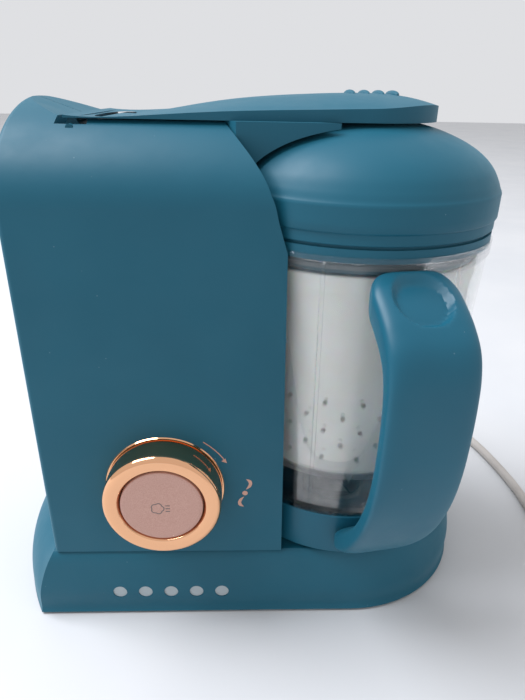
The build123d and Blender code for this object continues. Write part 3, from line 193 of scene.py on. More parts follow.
def frosted_polypropylene():
    """Moulded natural polypropylene: milky, passes light and scatters it."""
    material, shader = new_material("frosted_polypropylene", {"IOR": 1.49, "Transmission Weight": 0.12,
                                                              "Roughness": 0.5,
                                                              "Subsurface Weight": 0.3,
                                                              "Subsurface Scale": 3 * MM})
    cloudy = spread(material, noise_value(material, 14 * MM), 0.0, 1.0)
    link(material, blend_colours(material, cloudy, linear("F4F1EC"), linear("FBF9F5")), shader, "Base Color")
    relief(material, shader, noise_value(material, 0.8 * MM, 2.0), 0.02 * MM, 0.3)
    return material


def moulded_plastic(name, hex_colour, rough, grain=0.8 * MM):
    """Plain moulded plastic with a fine spark-eroded grain."""
    material, shader = new_material(name, {"IOR": 1.5})
    base = linear(hex_colour)
    pale = tuple(min(1.0, c * 1.25 + 0.004) for c in base[:3]) + (1.0,)
    cloudy = spread(material, noise_value(material, 10 * MM), 0.0, 0.5)
    link(material, blend_colours(material, cloudy, base, pale), shader, "Base Color")
    link(material, spread(material, noise_value(material, 5 * MM), rough - 0.06, rough + 0.06), shader,
         "Roughness")
    relief(material, shader, noise_value(material, grain, 2.0), 0.03 * MM, 0.4)
    return material


def silicone_rubber(name, hex_colour):
    """Pressed silicone rubber: dull, slightly dusty, soft edges."""
    material, shader = new_material(name, {"IOR": 1.42, "Sheen Weight": 0.25})
    base = linear(hex_colour)
    pale = tuple(min(1.0, c * 1.3 + 0.01) for c in base[:3]) + (1.0,)
    link(material, blend_colours(material, spread(material, noise_value(material, 4 * MM), 0, 0.6), base,
                                 pale), shader, "Base Color")
    link(material, spread(material, noise_value(material, 3 * MM), 0.55, 0.72), shader, "Roughness")
    return material


def brushed_metal(name, hex_colour, rough, length=8 * MM, width=0.25 * MM):
    """Rolled or turned metal with fine draw lines."""
    material, shader = new_material(name, {"Metallic": 1.0})
    stretch = add_node(material, "ShaderNodeMapping", {"Vector": object_points(material),
                                                       "Scale": (1 / width, 1 / width, 1 / length)})
    lines = add_node(material, "ShaderNodeTexNoise", {"Vector": stretch.outputs["Vector"], "Scale": 1.0,
                                                      "Detail": 2.0})
    base = linear(hex_colour)
    dark = tuple(c * 0.8 for c in base[:3]) + (1.0,)
    link(material, blend_colours(material, lines.outputs["Fac"], dark, base), shader, "Base Color")
    link(material, spread(material, lines.outputs["Fac"], rough - 0.06, rough + 0.08), shader, "Roughness")
    relief(material, shader, lines.outputs["Fac"], 0.01 * MM, 0.3)
    return material


def laminate_board():
    """Glass-fibre circuit board under green lacquer, with pale copper tracks showing through."""
    material, shader = new_material("laminate_board", {"IOR": 1.5, "Roughness": 0.35})
    tracks = add_node(material, "ShaderNodeTexBrick",
                      {"Vector": object_points(material), "Scale": 1 / (12 * MM), "Mortar Size": 0.03,
                       "Color1": linear("1C5A38"), "Color2": linear("216540"), "Mortar": linear("3E8A5C")})
    link(material, tracks.outputs["Color"], shader, "Base Color")
    return material


def flexible_pvc():
    """Extruded flexible PVC cord sheath: pale grey, slightly shiny, with a faint long grain."""
    material, shader = new_material("flexible_pvc", {"IOR": 1.52})
    tone = spread(material, noise_value(material, 25 * MM), 0.0, 1.0)
    link(material, blend_colours(material, tone, linear("A9A29C"), linear("B7B1AB")), shader, "Base Color")
    link(material, spread(material, noise_value(material, 3 * MM), 0.38, 0.5), shader, "Roughness")
    relief(material, shader, noise_value(material, 1.2 * MM, 2.0), 0.03 * MM, 0.3)
    return material


def frosted_window():
    """Frosted clear polycarbonate: the lamps behind it look like pale grey discs."""
    material, shader = new_material("frosted_window", {"IOR": 1.58, "Transmission Weight": 0.25,
                                                       "Base Color": linear("B9C4C8")})
    link(material, spread(material, noise_value(material, 2 * MM), 0.4, 0.6), shader, "Roughness")
    return material


def printed_ink(name, hex_colour, metallic):
    """Pad-printed ink, a thin film with a slightly broken edge and tone."""
    material, shader = new_material(name, {"Metallic": metallic, "IOR": 1.5})
    base = linear(hex_colour)
    dark = tuple(c * 0.85 for c in base[:3]) + (1.0,)
    link(material, blend_colours(material, noise_value(material, 0.6 * MM), dark, base), shader,
         "Base Color")
    link(material, spread(material, noise_value(material, 2 * MM), 0.32, 0.46), shader, "Roughness")
    return material


def painted_table():
    """White lacquered tabletop: nearly plain, with a faint sheen."""
    material, shader = new_material("painted_table", {"IOR": 1.48})
    tone = spread(material, noise_value(material, 180 * MM), 0.0, 1.0)
    link(material, blend_colours(material, tone, linear("C7C8CA"), linear("CECECF")), shader, "Base Color")
    link(material, spread(material, noise_value(material, 60 * MM), 0.5, 0.62), shader, "Roughness")
    return material


MATERIALS = {}


def material_of(key):
    """Return a finish by its short name, made once."""
    if key not in MATERIALS:
        colours = bpy.context.scene.food_maker_colours
        pale = (*colours.shell_pale, 1)
        makers = {
            "shell": lambda: soft_touch_abs("soft_touch_abs", (*colours.shell, 1), pale, 0.5),
            "grip": lambda: soft_touch_abs("soft_touch_grip", (*colours.grip, 1), pale, 0.4),
            "ring": rose_gold_plating,
            "button": satin_rose_paint,
            "clear": clear_copolyester,
            "basket": frosted_polypropylene,
            "seal": lambda: silicone_rubber("grey_silicone", "6E777A"),
            "rubber": lambda: silicone_rubber("black_rubber", "1B1B1C"),
            "black": lambda: moulded_plastic("black_nylon", "16171A", 0.5),
            "white": lambda: moulded_plastic("white_acetal", "D8D8D4", 0.4),
            "steel": lambda: brushed_metal("bright_steel", "B9BBBE", 0.3),
            "blade": lambda: brushed_metal("ground_stainless_steel", "C9CBCE", 0.2),
            "aluminium": lambda: brushed_metal("cast_aluminium", "B4B7BA", 0.42, 1 * MM, 1 * MM),
            "copper": lambda: brushed_metal("enamelled_copper", "B4683C", 0.35, 10 * MM, 0.5 * MM),
            "brass": lambda: brushed_metal("plated_brass", "C9B98A", 0.28),
            "board": laminate_board,
            "cord": flexible_pvc,
            "window": frosted_window,
            "rose_ink": lambda: printed_ink("rose_ink", "C99C8A", 0.6),
            "grey_ink": lambda: printed_ink("grey_ink", "6F6561", 0.0),
            "table": painted_table,
        }
        MATERIALS[key] = makers[key]()
    return MATERIALS[key]


# --- mesh tools ----------------------------------------------------------------------------------------
def smooth_run(points, steps=8):
    """Return points along a smooth curve through the given (a, b) points."""
    run = []
    last = len(points) - 1
    for i in range(last):
        p0, p1 = Vector(points[max(i - 1, 0)]), Vector(points[i])
        p2, p3 = Vector(points[i + 1]), Vector(points[min(i + 2, last)])
        for k in range(steps):
            t = k / steps
            a = 2 * p1 + (p2 - p0) * t
            b = (2 * p0 - 5 * p1 + 4 * p2 - p3) * t * t
            c = (3 * p1 - p0 - 3 * p2 + p3) * t ** 3
            run.append(tuple(0.5 * (a + b + c)))
    run.append(tuple(points[last]))
    return run


def new_object(name, mesh, key, body):
    """Link a mesh as a piece that rides on a body, with its finish."""
    piece = bpy.data.objects.new(name, mesh)
    bpy.context.scene.collection.objects.link(piece)
    mesh.materials.append(material_of(key))
    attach(piece, body)
    return piece


def shade(mesh, angle=32):
    """Shade a mesh smooth, with sharp edges above an angle."""
    mesh.shade_smooth()
    mesh.set_sharp_from_angle(angle=math.radians(angle))


def mesh_from(name, vertices, faces):
    """Return a clean mesh with doubles merged and normals outwards."""
    work = bmesh.new()
    made = [work.verts.new(v) for v in vertices]
    for face in faces:
        corners = [made[i] for i in face]
        if len(set(corners)) > 2:
            work.faces.new(corners)
    bmesh.ops.remove_doubles(work, verts=work.verts, dist=1e-6)
    bmesh.ops.dissolve_degenerate(work, edges=work.edges, dist=1e-7)
    bmesh.ops.recalc_face_normals(work, faces=work.faces)
    mesh = bpy.data.meshes.new(name)
    work.to_mesh(mesh)
    work.free()
    shade(mesh)
    return mesh


def lathe(name, outline, centre, angles=None, upright=True, bend=None):
    """Revolve a closed outline of (radius, height) about an axis through centre, upright or along Y."""
    angles = angles or [2 * math.pi * i / 144 for i in range(144)]
    count, rings = len(outline), len(angles)
    vertices = []
    for angle in angles:
        for r, h in outline:
            radius = bend(r, h, angle) if bend else r
            a, b = radius * math.cos(angle), radius * math.sin(angle)
            offset = Vector((a, b, h)) if upright else Vector((a, h, b))
            vertices.append(Vector(centre) + offset)
    faces = []
    for i in range(rings):
        for k in range(count):
            j, m = (i + 1) % rings, (k + 1) % count
            faces.append((i * count + k, j * count + k, j * count + m, i * count + m))
    return mesh_from(name, vertices, faces)


# --- pieces --------------------------------------------------------------------------------------------
NODE_FINISH = {
    "shell": ["base_housing", "front_shell", "rear_shell", "arm_cover", "arm_underside", "lid_liner",
              "arm_hinge_pin"],
    "black": ["base_plate", "dial_holder", "micro_switches", "drive_pulley", "drive_coupling",
              "driven_cup", "blade_hub", "thermostat", "cord_clamp"],
    "rubber": ["rubber_feet", "drive_belt"],
    "seal": ["nozzle_seal", "boiler_seal", "lid_seal", "boiler_collar"],
    "steel": ["base_screws", "tower_screws", "dial_spring", "button_spring", "drive_shaft",
              "blade_shaft", "motor_stator", "motor_shaft", "motor_armature", "heater_element",
              "boiler_strap"],
    "blade": ["blades"],
    "white": ["blade_bush", "spindle_bearing", "motor_fan", "thermal_fuse"],
    "aluminium": ["motor_pulley", "motor_bracket", "boiler_tank", "heater_plate"],
    "copper": ["motor_windings", "motor_commutator", "motor_bearings"],
    "board": ["indicator_board", "control_board"],
    "basket": ["steam_basket"],
    "window": ["indicator_lenses"],
    "clear": ["jug_vessel"],
    "grip": ["jug_handle"],
    "ring": ["dial_ring", "dial_trim"],
    "button": ["steam_button"],
    "cord": ["strain_relief", "power_cord", "cord_coil", "plug_body"],
    "brass": ["plug_pins"],
}


def finish_nodes():
    """Give every CAD node its finish."""
    for key, names in NODE_FINISH.items():
        for name in names:
            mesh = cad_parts[name].data
            mesh.materials.clear()
            mesh.materials.append(material_of(key))


DOME = [            # out from the lid's side, height above the seam, in millimetres
    (0.0, 15.6), (-0.25, 16.5), (-0.9, 17.7), (-2.3, 21.0), (-5.3, 26.0), (-10.3, 31.0), (-17.2, 35.5),
    (-25.6, 39.3), (-34.5, 42.3), (-44.4, 44.5), (-52.4, 45.4),
]


def build_lid():
    """Make the lid's domed shell with its step, crease and steam inlet."""
    sizes = bpy.context.scene.food_maker_sizes
    z0 = LID_LOW.z
    wall = sizes.lid_wall
    dome = smooth_run([(LID_R + d * MM, h * MM) for d, h in DOME])
    step = sizes.lid_step
    inlet = 6.5 * MM
    outline = [(LID_R - 0.9 * MM - 0.4 * MM, 0), (LID_R - 0.9 * MM, 0.4 * MM), (LID_R - 0.9 * MM, step),
               (LID_R - 0.25 * MM, step + 0.5 * MM), (LID_R, step + 1.0 * MM)]
    outline += [(LID_R, 9 * MM), (LID_R, 14.5 * MM), (LID_R, 15.2 * MM)] + dome
    top = dome[-1][1]
    outline += [(inlet + 1.2 * MM, top), (inlet + 0.3 * MM, top - 0.2 * MM), (inlet, top - 0.8 * MM),
                (inlet, top - wall)]
    outline += [(r - wall * 0.7, h - wall) for r, h in reversed(dome[16:])]
    outline += [(LID_R - wall, 12 * MM), (LID_R - wall, 0)]
    mesh = lathe("lid_dome_shell", outline, (JUG_X, JUG_Y, z0))
    lid = new_object("lid_shell", mesh, "shell", "lid")
    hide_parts("lid_dome")


BAND_H = 25.0 * MM
BAND_Z = 2.0 * MM           # underside of the band above the deck
JUG_TAPER = 6.0 * MM
JUG_FACETS = 120
RIBS = 6
RIB_START = math.radians(-22 - 90)


def jug_outline(wall):
    """Return the clear vessel's outline, heights above the deck."""
    low = BAND_Z + BAND_H
    top = JUG_H
    bend = JUG_H - 8.5 * MM
    floor = JUG_LOW.z - DECK_Z
    foot = JUG_R - JUG_TAPER + 0.4 * MM - 3.1 * MM
    bead = JUG_R + 1.3 * MM
    outside = [(10 * MM, floor), (foot - 2 * MM, floor), (foot, floor + 1 * MM), (foot, low),
               (JUG_R - JUG_TAPER, low), (JUG_R, bend), (JUG_R, top - 5.2 * MM),
               (bead - 0.4 * MM, top - 4.2 * MM),
               (bead, top - 3.2 * MM), (bead, top + 2.2 * MM), (bead - 0.4 * MM, top + 2.8 * MM),
               (JUG_R + 0.6 * MM, top + 2.8 * MM), (JUG_R + 0.6 * MM, top), (JUG_R - 0.5 * MM, top)]
    inside = [(JUG_R - wall + 0.4 * MM, top), (JUG_R - wall, top - 0.6 * MM), (JUG_R - wall, bend),
              (JUG_R - JUG_TAPER - wall, low + 3 * MM), (foot - 3.5 * MM, floor + 4.2 * MM),
              (foot - 7 * MM, floor + 3 * MM), (12.5 * MM, floor + 3 * MM), (12.5 * MM, floor + 12 * MM),
              (10 * MM, floor + 12 * MM)]
    return outside + inside


def build_jug():
    """Make the clear jug with slim ribs down the inside of its wall."""
    wall = bpy.context.scene.food_maker_sizes.jug_wall
    ribs = [RIB_START + 2 * math.pi * i / RIBS for i in range(RIBS)]
    half = math.radians(0.7)
    edges = (-1.6 * half, -half, half, 1.6 * half)
    angles = sorted({round(2 * math.pi * i / JUG_FACETS, 6) for i in range(JUG_FACETS)}
                    | {round((a + edge) % (2 * math.pi), 6) for a in ribs for edge in edges})
    low, high = BAND_Z + BAND_H + 10 * MM, JUG_H - 9 * MM

    def ribbed(r, h, angle):
        inner = r < JUG_R - JUG_TAPER * (JUG_H - h) / JUG_H - 0.6 * wall and low < h < high + 1 * MM
        near = min(abs((angle - a + math.pi) % (2 * math.pi) - math.pi) for a in ribs)
        return r - 0.9 * MM if inner and near <= half * 1.01 else r

    outline = jug_outline(wall)
    mesh = lathe("jug_wall", outline, (JUG_X, JUG_Y, DECK_Z), angles, bend=ribbed)
    jug = new_object("clear_jug", mesh, "clear", "jug")
    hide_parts("jug_vessel")
    r = JUG_R - wall - 1.5 * MM
    low, high = JUG_H - 14.4 * MM, JUG_H - 6.8 * MM
    rim = [(r - 1.3 * MM, low), (r, low), (r, high - 0.5 * MM), (r - 0.4 * MM, high), (r - 0.9 * MM, high),
           (r - 1.3 * MM, high - 0.5 * MM)]
    collar = lathe("collar", rim, (JUG_X, JUG_Y, DECK_Z))
    new_object("basket_collar", collar, "basket", "jug")


HANDLE_AZ = math.radians(10.0 - 90.0)
# Stations of the grip, top to bottom: the outer edge, then the inner one. Each is a distance out from
# the rim in millimetres and a share of the jug's height.
GRIP = [
    (-0.5, 0.990, 0.5, 0.880), (8.5, 0.969, 8.0, 0.858), (17.5, 0.940, 15.0, 0.832),
    (26.0, 0.903, 21.4, 0.800), (33.2, 0.856, 25.6, 0.760), (37.0, 0.795, 27.6, 0.705),
    (38.4, 0.715, 28.3, 0.650), (38.6, 0.625, 28.4, 0.590), (38.0, 0.520, 27.6, 0.510),
    (35.6, 0.420, 25.6, 0.432), (31.2, 0.330, 22.0, 0.360), (24.6, 0.240, 16.8, 0.290),
    (15.6, 0.155, 10.2, 0.230), (5.6, 0.085, 1.2, 0.168), (-3.4, 0.045, -6.3, 0.128),
]
GRIP_WIDTH = 39.0 * MM
GRIP_SQUARE = 0.5           # 1 is an ellipse, less is squarer
# Thumb hollow: share of height, distance out, half length, half width, depth.
THUMB = (0.948, 15.5 * MM, 13.5 * MM, 13.0 * MM, 3.2 * MM)
GRIP_STEPS = 14
ROUND_OFF = 20              # rings over which the root widens


def power_wave(value, power):
    """Return a wave's value bent towards a square one."""
    return math.copysign(abs(value) ** power, value)


def smooth_step(share):
    """Ease from 0 to 1."""
    share = min(1.0, max(0.0, share))
    return share * share * (3 - 2 * share)


def grip_mesh():
    """Return the grip as a closed strap with rounded edges and an oval thumb hollow near its top."""
    outer = smooth_run([(JUG_R + d * MM, h * JUG_H) for d, h, _, _ in GRIP], GRIP_STEPS)
    inner = smooth_run([(JUG_R + d * MM, h * JUG_H) for _, _, d, h in GRIP], GRIP_STEPS)
    around = 96
    share, out, half_long, half_wide, depth = THUMB
    thumb = Vector((JUG_R + out, share * JUG_H))
    out_of = Vector((math.cos(HANDLE_AZ), math.sin(HANDLE_AZ), 0))
    across = Vector((-math.sin(HANDLE_AZ), math.cos(HANDLE_AZ), 0))
    centre = Vector((JUG_X, JUG_Y, DECK_Z))
    keep_out = JUG_R - JUG_TAPER - 1.1 * MM
    vertices, rings = [], []
    for i, (far, near) in enumerate(zip(outer, inner)):
        far, near = Vector(far), Vector(near)
        middle, half = (far + near) / 2, (far - near) / 2
        along = Vector((-half.y, half.x)).normalized()
        ending = math.sqrt(1 - (1 - min(1.0, (i + 0.5) / 5)) ** 2)
        widen = math.sqrt(1 - (1 - min(1.0, (i + 0.5) / ROUND_OFF)) ** 2)
        ring = []
        for k in range(around):
            angle = 2 * math.pi * k / around
            u = power_wave(math.cos(angle), GRIP_SQUARE) * (0.55 + 0.45 * ending)
            v = power_wave(math.sin(angle), GRIP_SQUARE) * GRIP_WIDTH / 2 * (0.58 + 0.42 * widen)
            place = middle + half * u
            if u > 0.2:
                reach = math.hypot((place - thumb).dot(along) / half_long, v / half_wide)
                place = place - half.normalized() * depth * smooth_step((1.0 - reach) / 0.22)
            ring.append(len(vertices))
            flat = out_of * place.x + across * v
            if place.y < BAND_Z + BAND_H and flat.length < keep_out:
                flat = flat.normalized() * keep_out
            vertices.append(centre + flat + Vector((0, 0, place.y)))
        rings.append(ring)
    faces = []
    for first, second in zip(rings, rings[1:]):
        for k in range(around):
            m = (k + 1) % around
            faces.append((first[k], first[m], second[m], second[k]))
    faces.append(tuple(rings[0]))
    faces.append(tuple(reversed(rings[-1])))
    return mesh_from("grip", vertices, faces)


def build_handle():
    """Make the band round the jug's foot and the grip that grows from it, as one moulding."""
    r = JUG_R - JUG_TAPER + 0.4 * MM
    inner = r - 3 * MM
    top = BAND_Z + BAND_H
    outline = [(inner, BAND_Z), (r - 1.6 * MM, BAND_Z), (r - 0.5 * MM, BAND_Z + 0.6 * MM),
               (r, BAND_Z + 1.8 * MM), (r, top - 0.5 * MM), (r - 0.4 * MM, top), (inner, top)]
    mesh = lathe("band", outline, (JUG_X, JUG_Y, DECK_Z))
    band = new_object("foot_band", mesh, "grip", "jug")
    grip = new_object("jug_grip", grip_mesh(), "grip", "jug")
    for piece in (band, grip):
        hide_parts("jug_handle")


def build_dial():
    """Make the plated ring of the dial with its rolled edge and sloping face."""
    r = 0.5 * (DIAL_HIGH.x - DIAL_LOW.x)
    bore = 20.6 * MM
    back = 15.0 * MM
    edge = 3.2 * MM
    rolled = [(r - edge + edge * math.cos(a), edge - edge * math.sin(a))
              for a in [math.pi / 2 * i / 10 for i in range(11)]]
    outline = [(bore, 25 * MM), (23.4 * MM, 25 * MM), (23.4 * MM, back), (r - 0.8 * MM, back),
               (r, back - 0.8 * MM)]
    outline += [(x, y) for x, y in rolled]
    outline += [(bore + 2.4 * MM, 0.5 * MM), (bore + 1.0 * MM, 0.9 * MM), (bore + 0.3 * MM, 1.7 * MM),
                (bore, 3.0 * MM)]
    mesh = lathe("ring", outline, (DIAL_X, DIAL_LOW.y, DIAL_Z), upright=False)
    ring = new_object("plated_ring", mesh, "ring", "dial")
    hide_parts("dial_ring")


def flat_shape(name, outlines, y, thick, key, body):
    """Make thin printed shapes that face the front, from closed outlines of (x, z)."""
    vertices, faces = [], []
    for outline in outlines:
        start, count = len(vertices), len(outline)
        for depth in (0.0, thick):
            vertices += [Vector((x, y - depth, z)) for x, z in outline]
        faces.append(tuple(start + count + i for i in range(count)))
        faces.append(tuple(start + i for i in reversed(range(count))))
        for i in range(count):
            j = (i + 1) % count
            faces.append((start + i, start + j, start + count + j, start + count + i))
    return new_object(name, mesh_from(name, vertices, faces), key, body)


def stroke(points, width):
    """Return the outline of a line of even width along (x, z) points."""
    left, right = [], []
    for i, point in enumerate(points):
        before, after = Vector(points[max(i - 1, 0)]), Vector(points[min(i + 1, len(points) - 1)])
        along = (after - before).normalized()
        side = Vector((-along.y, along.x)) * width / 2
        left.append(tuple(Vector(point) + side))
        right.append(tuple(Vector(point) - side))
    return left + right[::-1]


PUFF_POINTS = 72


def build_button():
    """Make the dished button with a plain steam-puff mark."""
    r = 0.5 * (BUTTON_HIGH.x - BUTTON_LOW.x)
    stem = 4.0 * MM
    depth = BUTTON_HIGH.y - BUTTON_LOW.y
    dish = [(r * s, 0.55 * MM * (1 - s * s)) for s in (0.0, 0.2, 0.4, 0.6, 0.8, 0.9)]
    outline = dish + [(r - 0.9 * MM, 0.1 * MM), (r - 0.3 * MM, 0.4 * MM), (r, 1.1 * MM), (r, 6 * MM),
                      (r - 1.6 * MM, 6 * MM), (r - 1.6 * MM, 2.6 * MM), (stem, 2.6 * MM), (stem, depth),
                      (0.0, depth)]
    mesh = lathe("button", outline, (DIAL_X, BUTTON_LOW.y, DIAL_Z), upright=False)
    button = new_object("dished_button", mesh, "button", "button")
    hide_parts("steam_button")
    centre = Vector((DIAL_X - 0.6 * MM, DIAL_Z - 1.4 * MM))
    puff = []
    for i in range(PUFF_POINTS):
        angle = 2 * math.pi * i / PUFF_POINTS
        lobe = 2.6 * MM + 0.6 * MM * abs(math.cos(2.5 * angle))
        puff.append(centre + Vector((lobe * math.cos(angle) - 1.5 * MM, lobe * math.sin(angle))))
    marks = [stroke(puff + puff[:1], 0.5 * MM)]
    for rise in (-1.7, 0.0, 1.7):
        z = centre.y + rise * MM
        marks.append(stroke([(centre.x + 2.4 * MM, z), (centre.x + 4.6 * MM, z)], 0.5 * MM))
    flat_shape("steam_mark", marks, BUTTON_LOW.y + 0.54 * MM, 0.05 * MM, "grey_ink", "button")


ARROW = (Vector((19.8 * MM, 27.4 * MM)), Vector((31.4 * MM, 14.9 * MM)))      # from the dial's centre
ARROW_BOW = 0.9 * MM
HUB_POINTS = 24
BLADE_WING = [              # millimetres from the hub
    (0.4, 2.2), (2.6, 3.6), (3.6, 5.8), (3.0, 8.0), (0.6, 8.7), (1.6, 7.2), (1.9, 5.6), (1.2, 3.8),
]
BLADE_HUB = Vector((40.5 * MM, -3.9 * MM))


def build_panel_marks():
    """Print the turning arrow and the blade mark beside the dial."""
    start = Vector((DIAL_X + ARROW[0].x, DIAL_Z + ARROW[0].y))
    tip = Vector((DIAL_X + ARROW[1].x, DIAL_Z + ARROW[1].y))
    along = (tip - start).normalized()
    side = Vector((-along.y, along.x))
    bow = [start.lerp(tip, t) + side * ARROW_BOW * 4 * t * (1 - t) for t in (0.0, 0.2, 0.4, 0.6, 0.8)]
    neck = tip - along * 2.6 * MM
    barb = side * 1.3 * MM
    shapes = [stroke(bow + [neck], 0.5 * MM), [tuple(neck + barb), tuple(neck - barb), tuple(tip)]]
    hub = Vector((DIAL_X + BLADE_HUB.x, DIAL_Z + BLADE_HUB.y))
    around = [2 * math.pi * i / HUB_POINTS for i in range(HUB_POINTS)]
    shapes.append([tuple(hub + Vector((math.cos(a), math.sin(a))) * 1.4 * MM) for a in around])
    for turn in (1, -1):
        shapes.append([(hub.x + turn * x * MM, hub.y + turn * z * MM) for x, z in smooth_run(BLADE_WING, 4)])
    flat_shape("panel_marks", shapes, PANEL_Y, 0.05 * MM, "rose_ink", "housing")


# --- cord ----------------------------------------------------------------------------------------------
CORD_D = 6.5 * MM
CORD_SHIFT = Vector((RELIEF_LOW.x + 9.0 * MM - 20.0 * MM, RELIEF_HIGH.y - 172.5 * MM, 0))
CORD_POINTS = [
    (20.0, 172.5, 14.0), (20.5, 188.0, 12.8), (29.0, 207.0, 5.4), (50.0, 223.5, 3.25),
    (81.0, 232.5, 3.25), (114.0, 229.5, 3.25), (143.0, 213.5, 3.25), (164.5, 189.0, 3.25),
    (176.5, 160.0, 3.25), (183.0, 128.0, 3.25), (186.5, 97.0, 3.25), (185.5, 68.0, 3.25),
    (181.8, 42.0, 3.25),
]
PLUG_POINTS = [
    (257.0, 42.0, 9.0), (257.6, 57.0, 9.4), (259.6, 72.0, 8.0), (260.2, 87.0, 7.0),
]
COIL_X, COIL_Y = 221.0, 40.0
COIL_TURNS = [(39.3, 3.25), (32.7, 3.25), (36.0, 9.0)]      # radius and height of each turn
PER_TURN = 16               # control points in a turn
COIL_COUNT = 39             # control points in the coil, just under two and a half turns
COIL_BLEND = 0.22           # share of a turn in which it moves to the next


def coil_points():
    """Return the coil's control points: an outer and an inner turn, then part of one that lies on both."""
    points = []
    last = len(COIL_TURNS) - 1
    for i in range(1, COIL_COUNT + 1):
        turn = i / PER_TURN
        index = min(int(turn), last)
        within = turn - index
        radius, height = COIL_TURNS[index]
        if within > 1 - COIL_BLEND and index < last:
            share = smooth_step((within - 1 + COIL_BLEND) / COIL_BLEND)
            following = COIL_TURNS[index + 1]
            radius += (following[0] - radius) * share
            height += (following[1] - height) * share
        angle = math.pi + 2 * math.pi * turn
        points.append((COIL_X + radius * math.cos(angle), COIL_Y + radius * math.sin(angle), height))
    return points


def build_cord():
    """Make the mains cord on one smooth line, with its coil."""
    route = CORD_POINTS + coil_points() + PLUG_POINTS
    places = [Vector(p) * MM + CORD_SHIFT for p in route]
    curve = bpy.data.curves.new("mains_cord", "CURVE")
    curve.dimensions = "3D"
    curve.bevel_depth = CORD_D / 2
    curve.bevel_resolution = 6
    curve.use_fill_caps = True
    curve.resolution_u = 8
    spline = curve.splines.new("NURBS")
    spline.points.add(len(places) - 1)
    for point, place in zip(spline.points, places):
        point.co = (*place, 1)
    spline.order_u = 3
    spline.use_endpoint_u = True
    cord = new_object("mains_cord", curve, "cord", "housing")
    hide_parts("power_cord", "cord_coil")
    plug, pins, boot = build_plug(places[-1])


def build_plug(rear):
    """Make the two-pin plug with its waisted body, and the ribbed strain relief at the housing."""
    rows = [(0.0, 8.5, 8.5), (1.5, 9.8, 9.8), (6.0, 11.5, 10.5), (14.0, 14.5, 12.0), (21.0, 15.0, 12.6),
            (27.0, 16.6, 13.6), (34.5, 16.8, 13.8), (36.0, 15.4, 12.4)]
    vertices, rings = [], []
    for y, wide, tall in rows:
        ring = []
        for k in range(32):
            angle = 2 * math.pi * k / 32
            c, s = math.cos(angle), math.sin(angle)
            x = math.copysign(abs(c) ** 0.65, c) * wide / 2 * MM
            z = math.copysign(abs(s) ** 0.65, s) * tall / 2 * MM
            ring.append(len(vertices))
            vertices.append(rear + Vector((x, y * MM, z)))
        rings.append(ring)
    faces = []
    for a, b in zip(rings, rings[1:]):
        faces += [(a[k], a[(k + 1) % 32], b[(k + 1) % 32], b[k]) for k in range(32)]
    faces += [tuple(rings[0]), tuple(reversed(rings[-1]))]
    plug = new_object("cord_plug", mesh_from("plug", vertices, faces), "cord", "housing")
    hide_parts("plug_body")
    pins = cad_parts["plug_pins"]
    tip = RELIEF_HIGH.y
    x, z = 0.5 * (RELIEF_LOW.x + RELIEF_HIGH.x), 0.5 * (RELIEF_LOW.z + RELIEF_HIGH.z)
    start = RELIEF_LOW.y
    outline = [(0.0, 0.0), (9 * MM, 0.0), (9 * MM, 2.4 * MM), (6.8 * MM, 2.4 * MM)]
    length = tip - start
    ribs, first = 7, 12.0 * MM
    step = (length - first - 1.5 * MM) / ribs
    for i in range(ribs):
        y = first + i * step
        r = (6.7 - 2.3 * i / ribs) * MM
        low = r - 0.9 * MM
        outline += [(r, y), (r, y + 0.55 * step), (low, y + 0.65 * step), (low, y + 0.95 * step)]
    outline += [(4.2 * MM, length - 0.8 * MM), (3.6 * MM, length), (0.0, length)]
    mesh = lathe("relief", outline, (x, start, z), upright=False)
    boot = new_object("ribbed_relief", mesh, "cord", "housing")
    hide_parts("strain_relief")
    return plug, pins, boot


# --- stage ---------------------------------------------------------------------------------------------
CAMERA_FROM_PANEL = Vector((100.5, -230.17, 227.53)) * MM   # from the panel's lower left corner
CAMERA_YAW = math.radians(2.2)
CAMERA_PITCH = math.radians(24.9)
CAMERA_ROLL = math.radians(-1.2)
CAMERA_LENS = 28.8


def build_camera():
    """Place the camera in front of and above the panel."""
    yaw, pitch, roll = CAMERA_YAW, CAMERA_PITCH, CAMERA_ROLL
    ahead = Vector((math.sin(yaw) * math.cos(pitch), math.cos(yaw) * math.cos(pitch), -math.sin(pitch)))
    level = Vector((math.cos(yaw), -math.sin(yaw), 0))
    down = ahead.cross(level)
    right = level * math.cos(roll) + down * math.sin(roll)
    under = down * math.cos(roll) - level * math.sin(roll)
    camera = bpy.data.cameras.new("camera")
    camera.lens = CAMERA_LENS
    camera.clip_start = 0.01
    holder = bpy.data.objects.new("camera", camera)
    bpy.context.scene.collection.objects.link(holder)
    turn = Matrix((right, -under, -ahead)).transposed().to_4x4()
    corner = Vector((PANEL_LOW.x, PANEL_LOW.y, DECK_Z))
    holder.matrix_world = Matrix.Translation(corner + CAMERA_FROM_PANEL) @ turn
    bpy.context.scene.camera = holder


def add_light(name, place, target, size, power, colour):
    """Add a soft square light that looks at a target."""
    light = bpy.data.lights.new(name, "AREA")
    light.shape = "SQUARE"
    light.size = size
    light.energy = power
    light.color = linear(colour)[:3]
    holder = bpy.data.objects.new(name, light)
    bpy.context.scene.collection.objects.link(holder)
    holder.location = place
    holder.rotation_euler = (Vector(target) - Vector(place)).to_track_quat("-Z", "Y").to_euler()


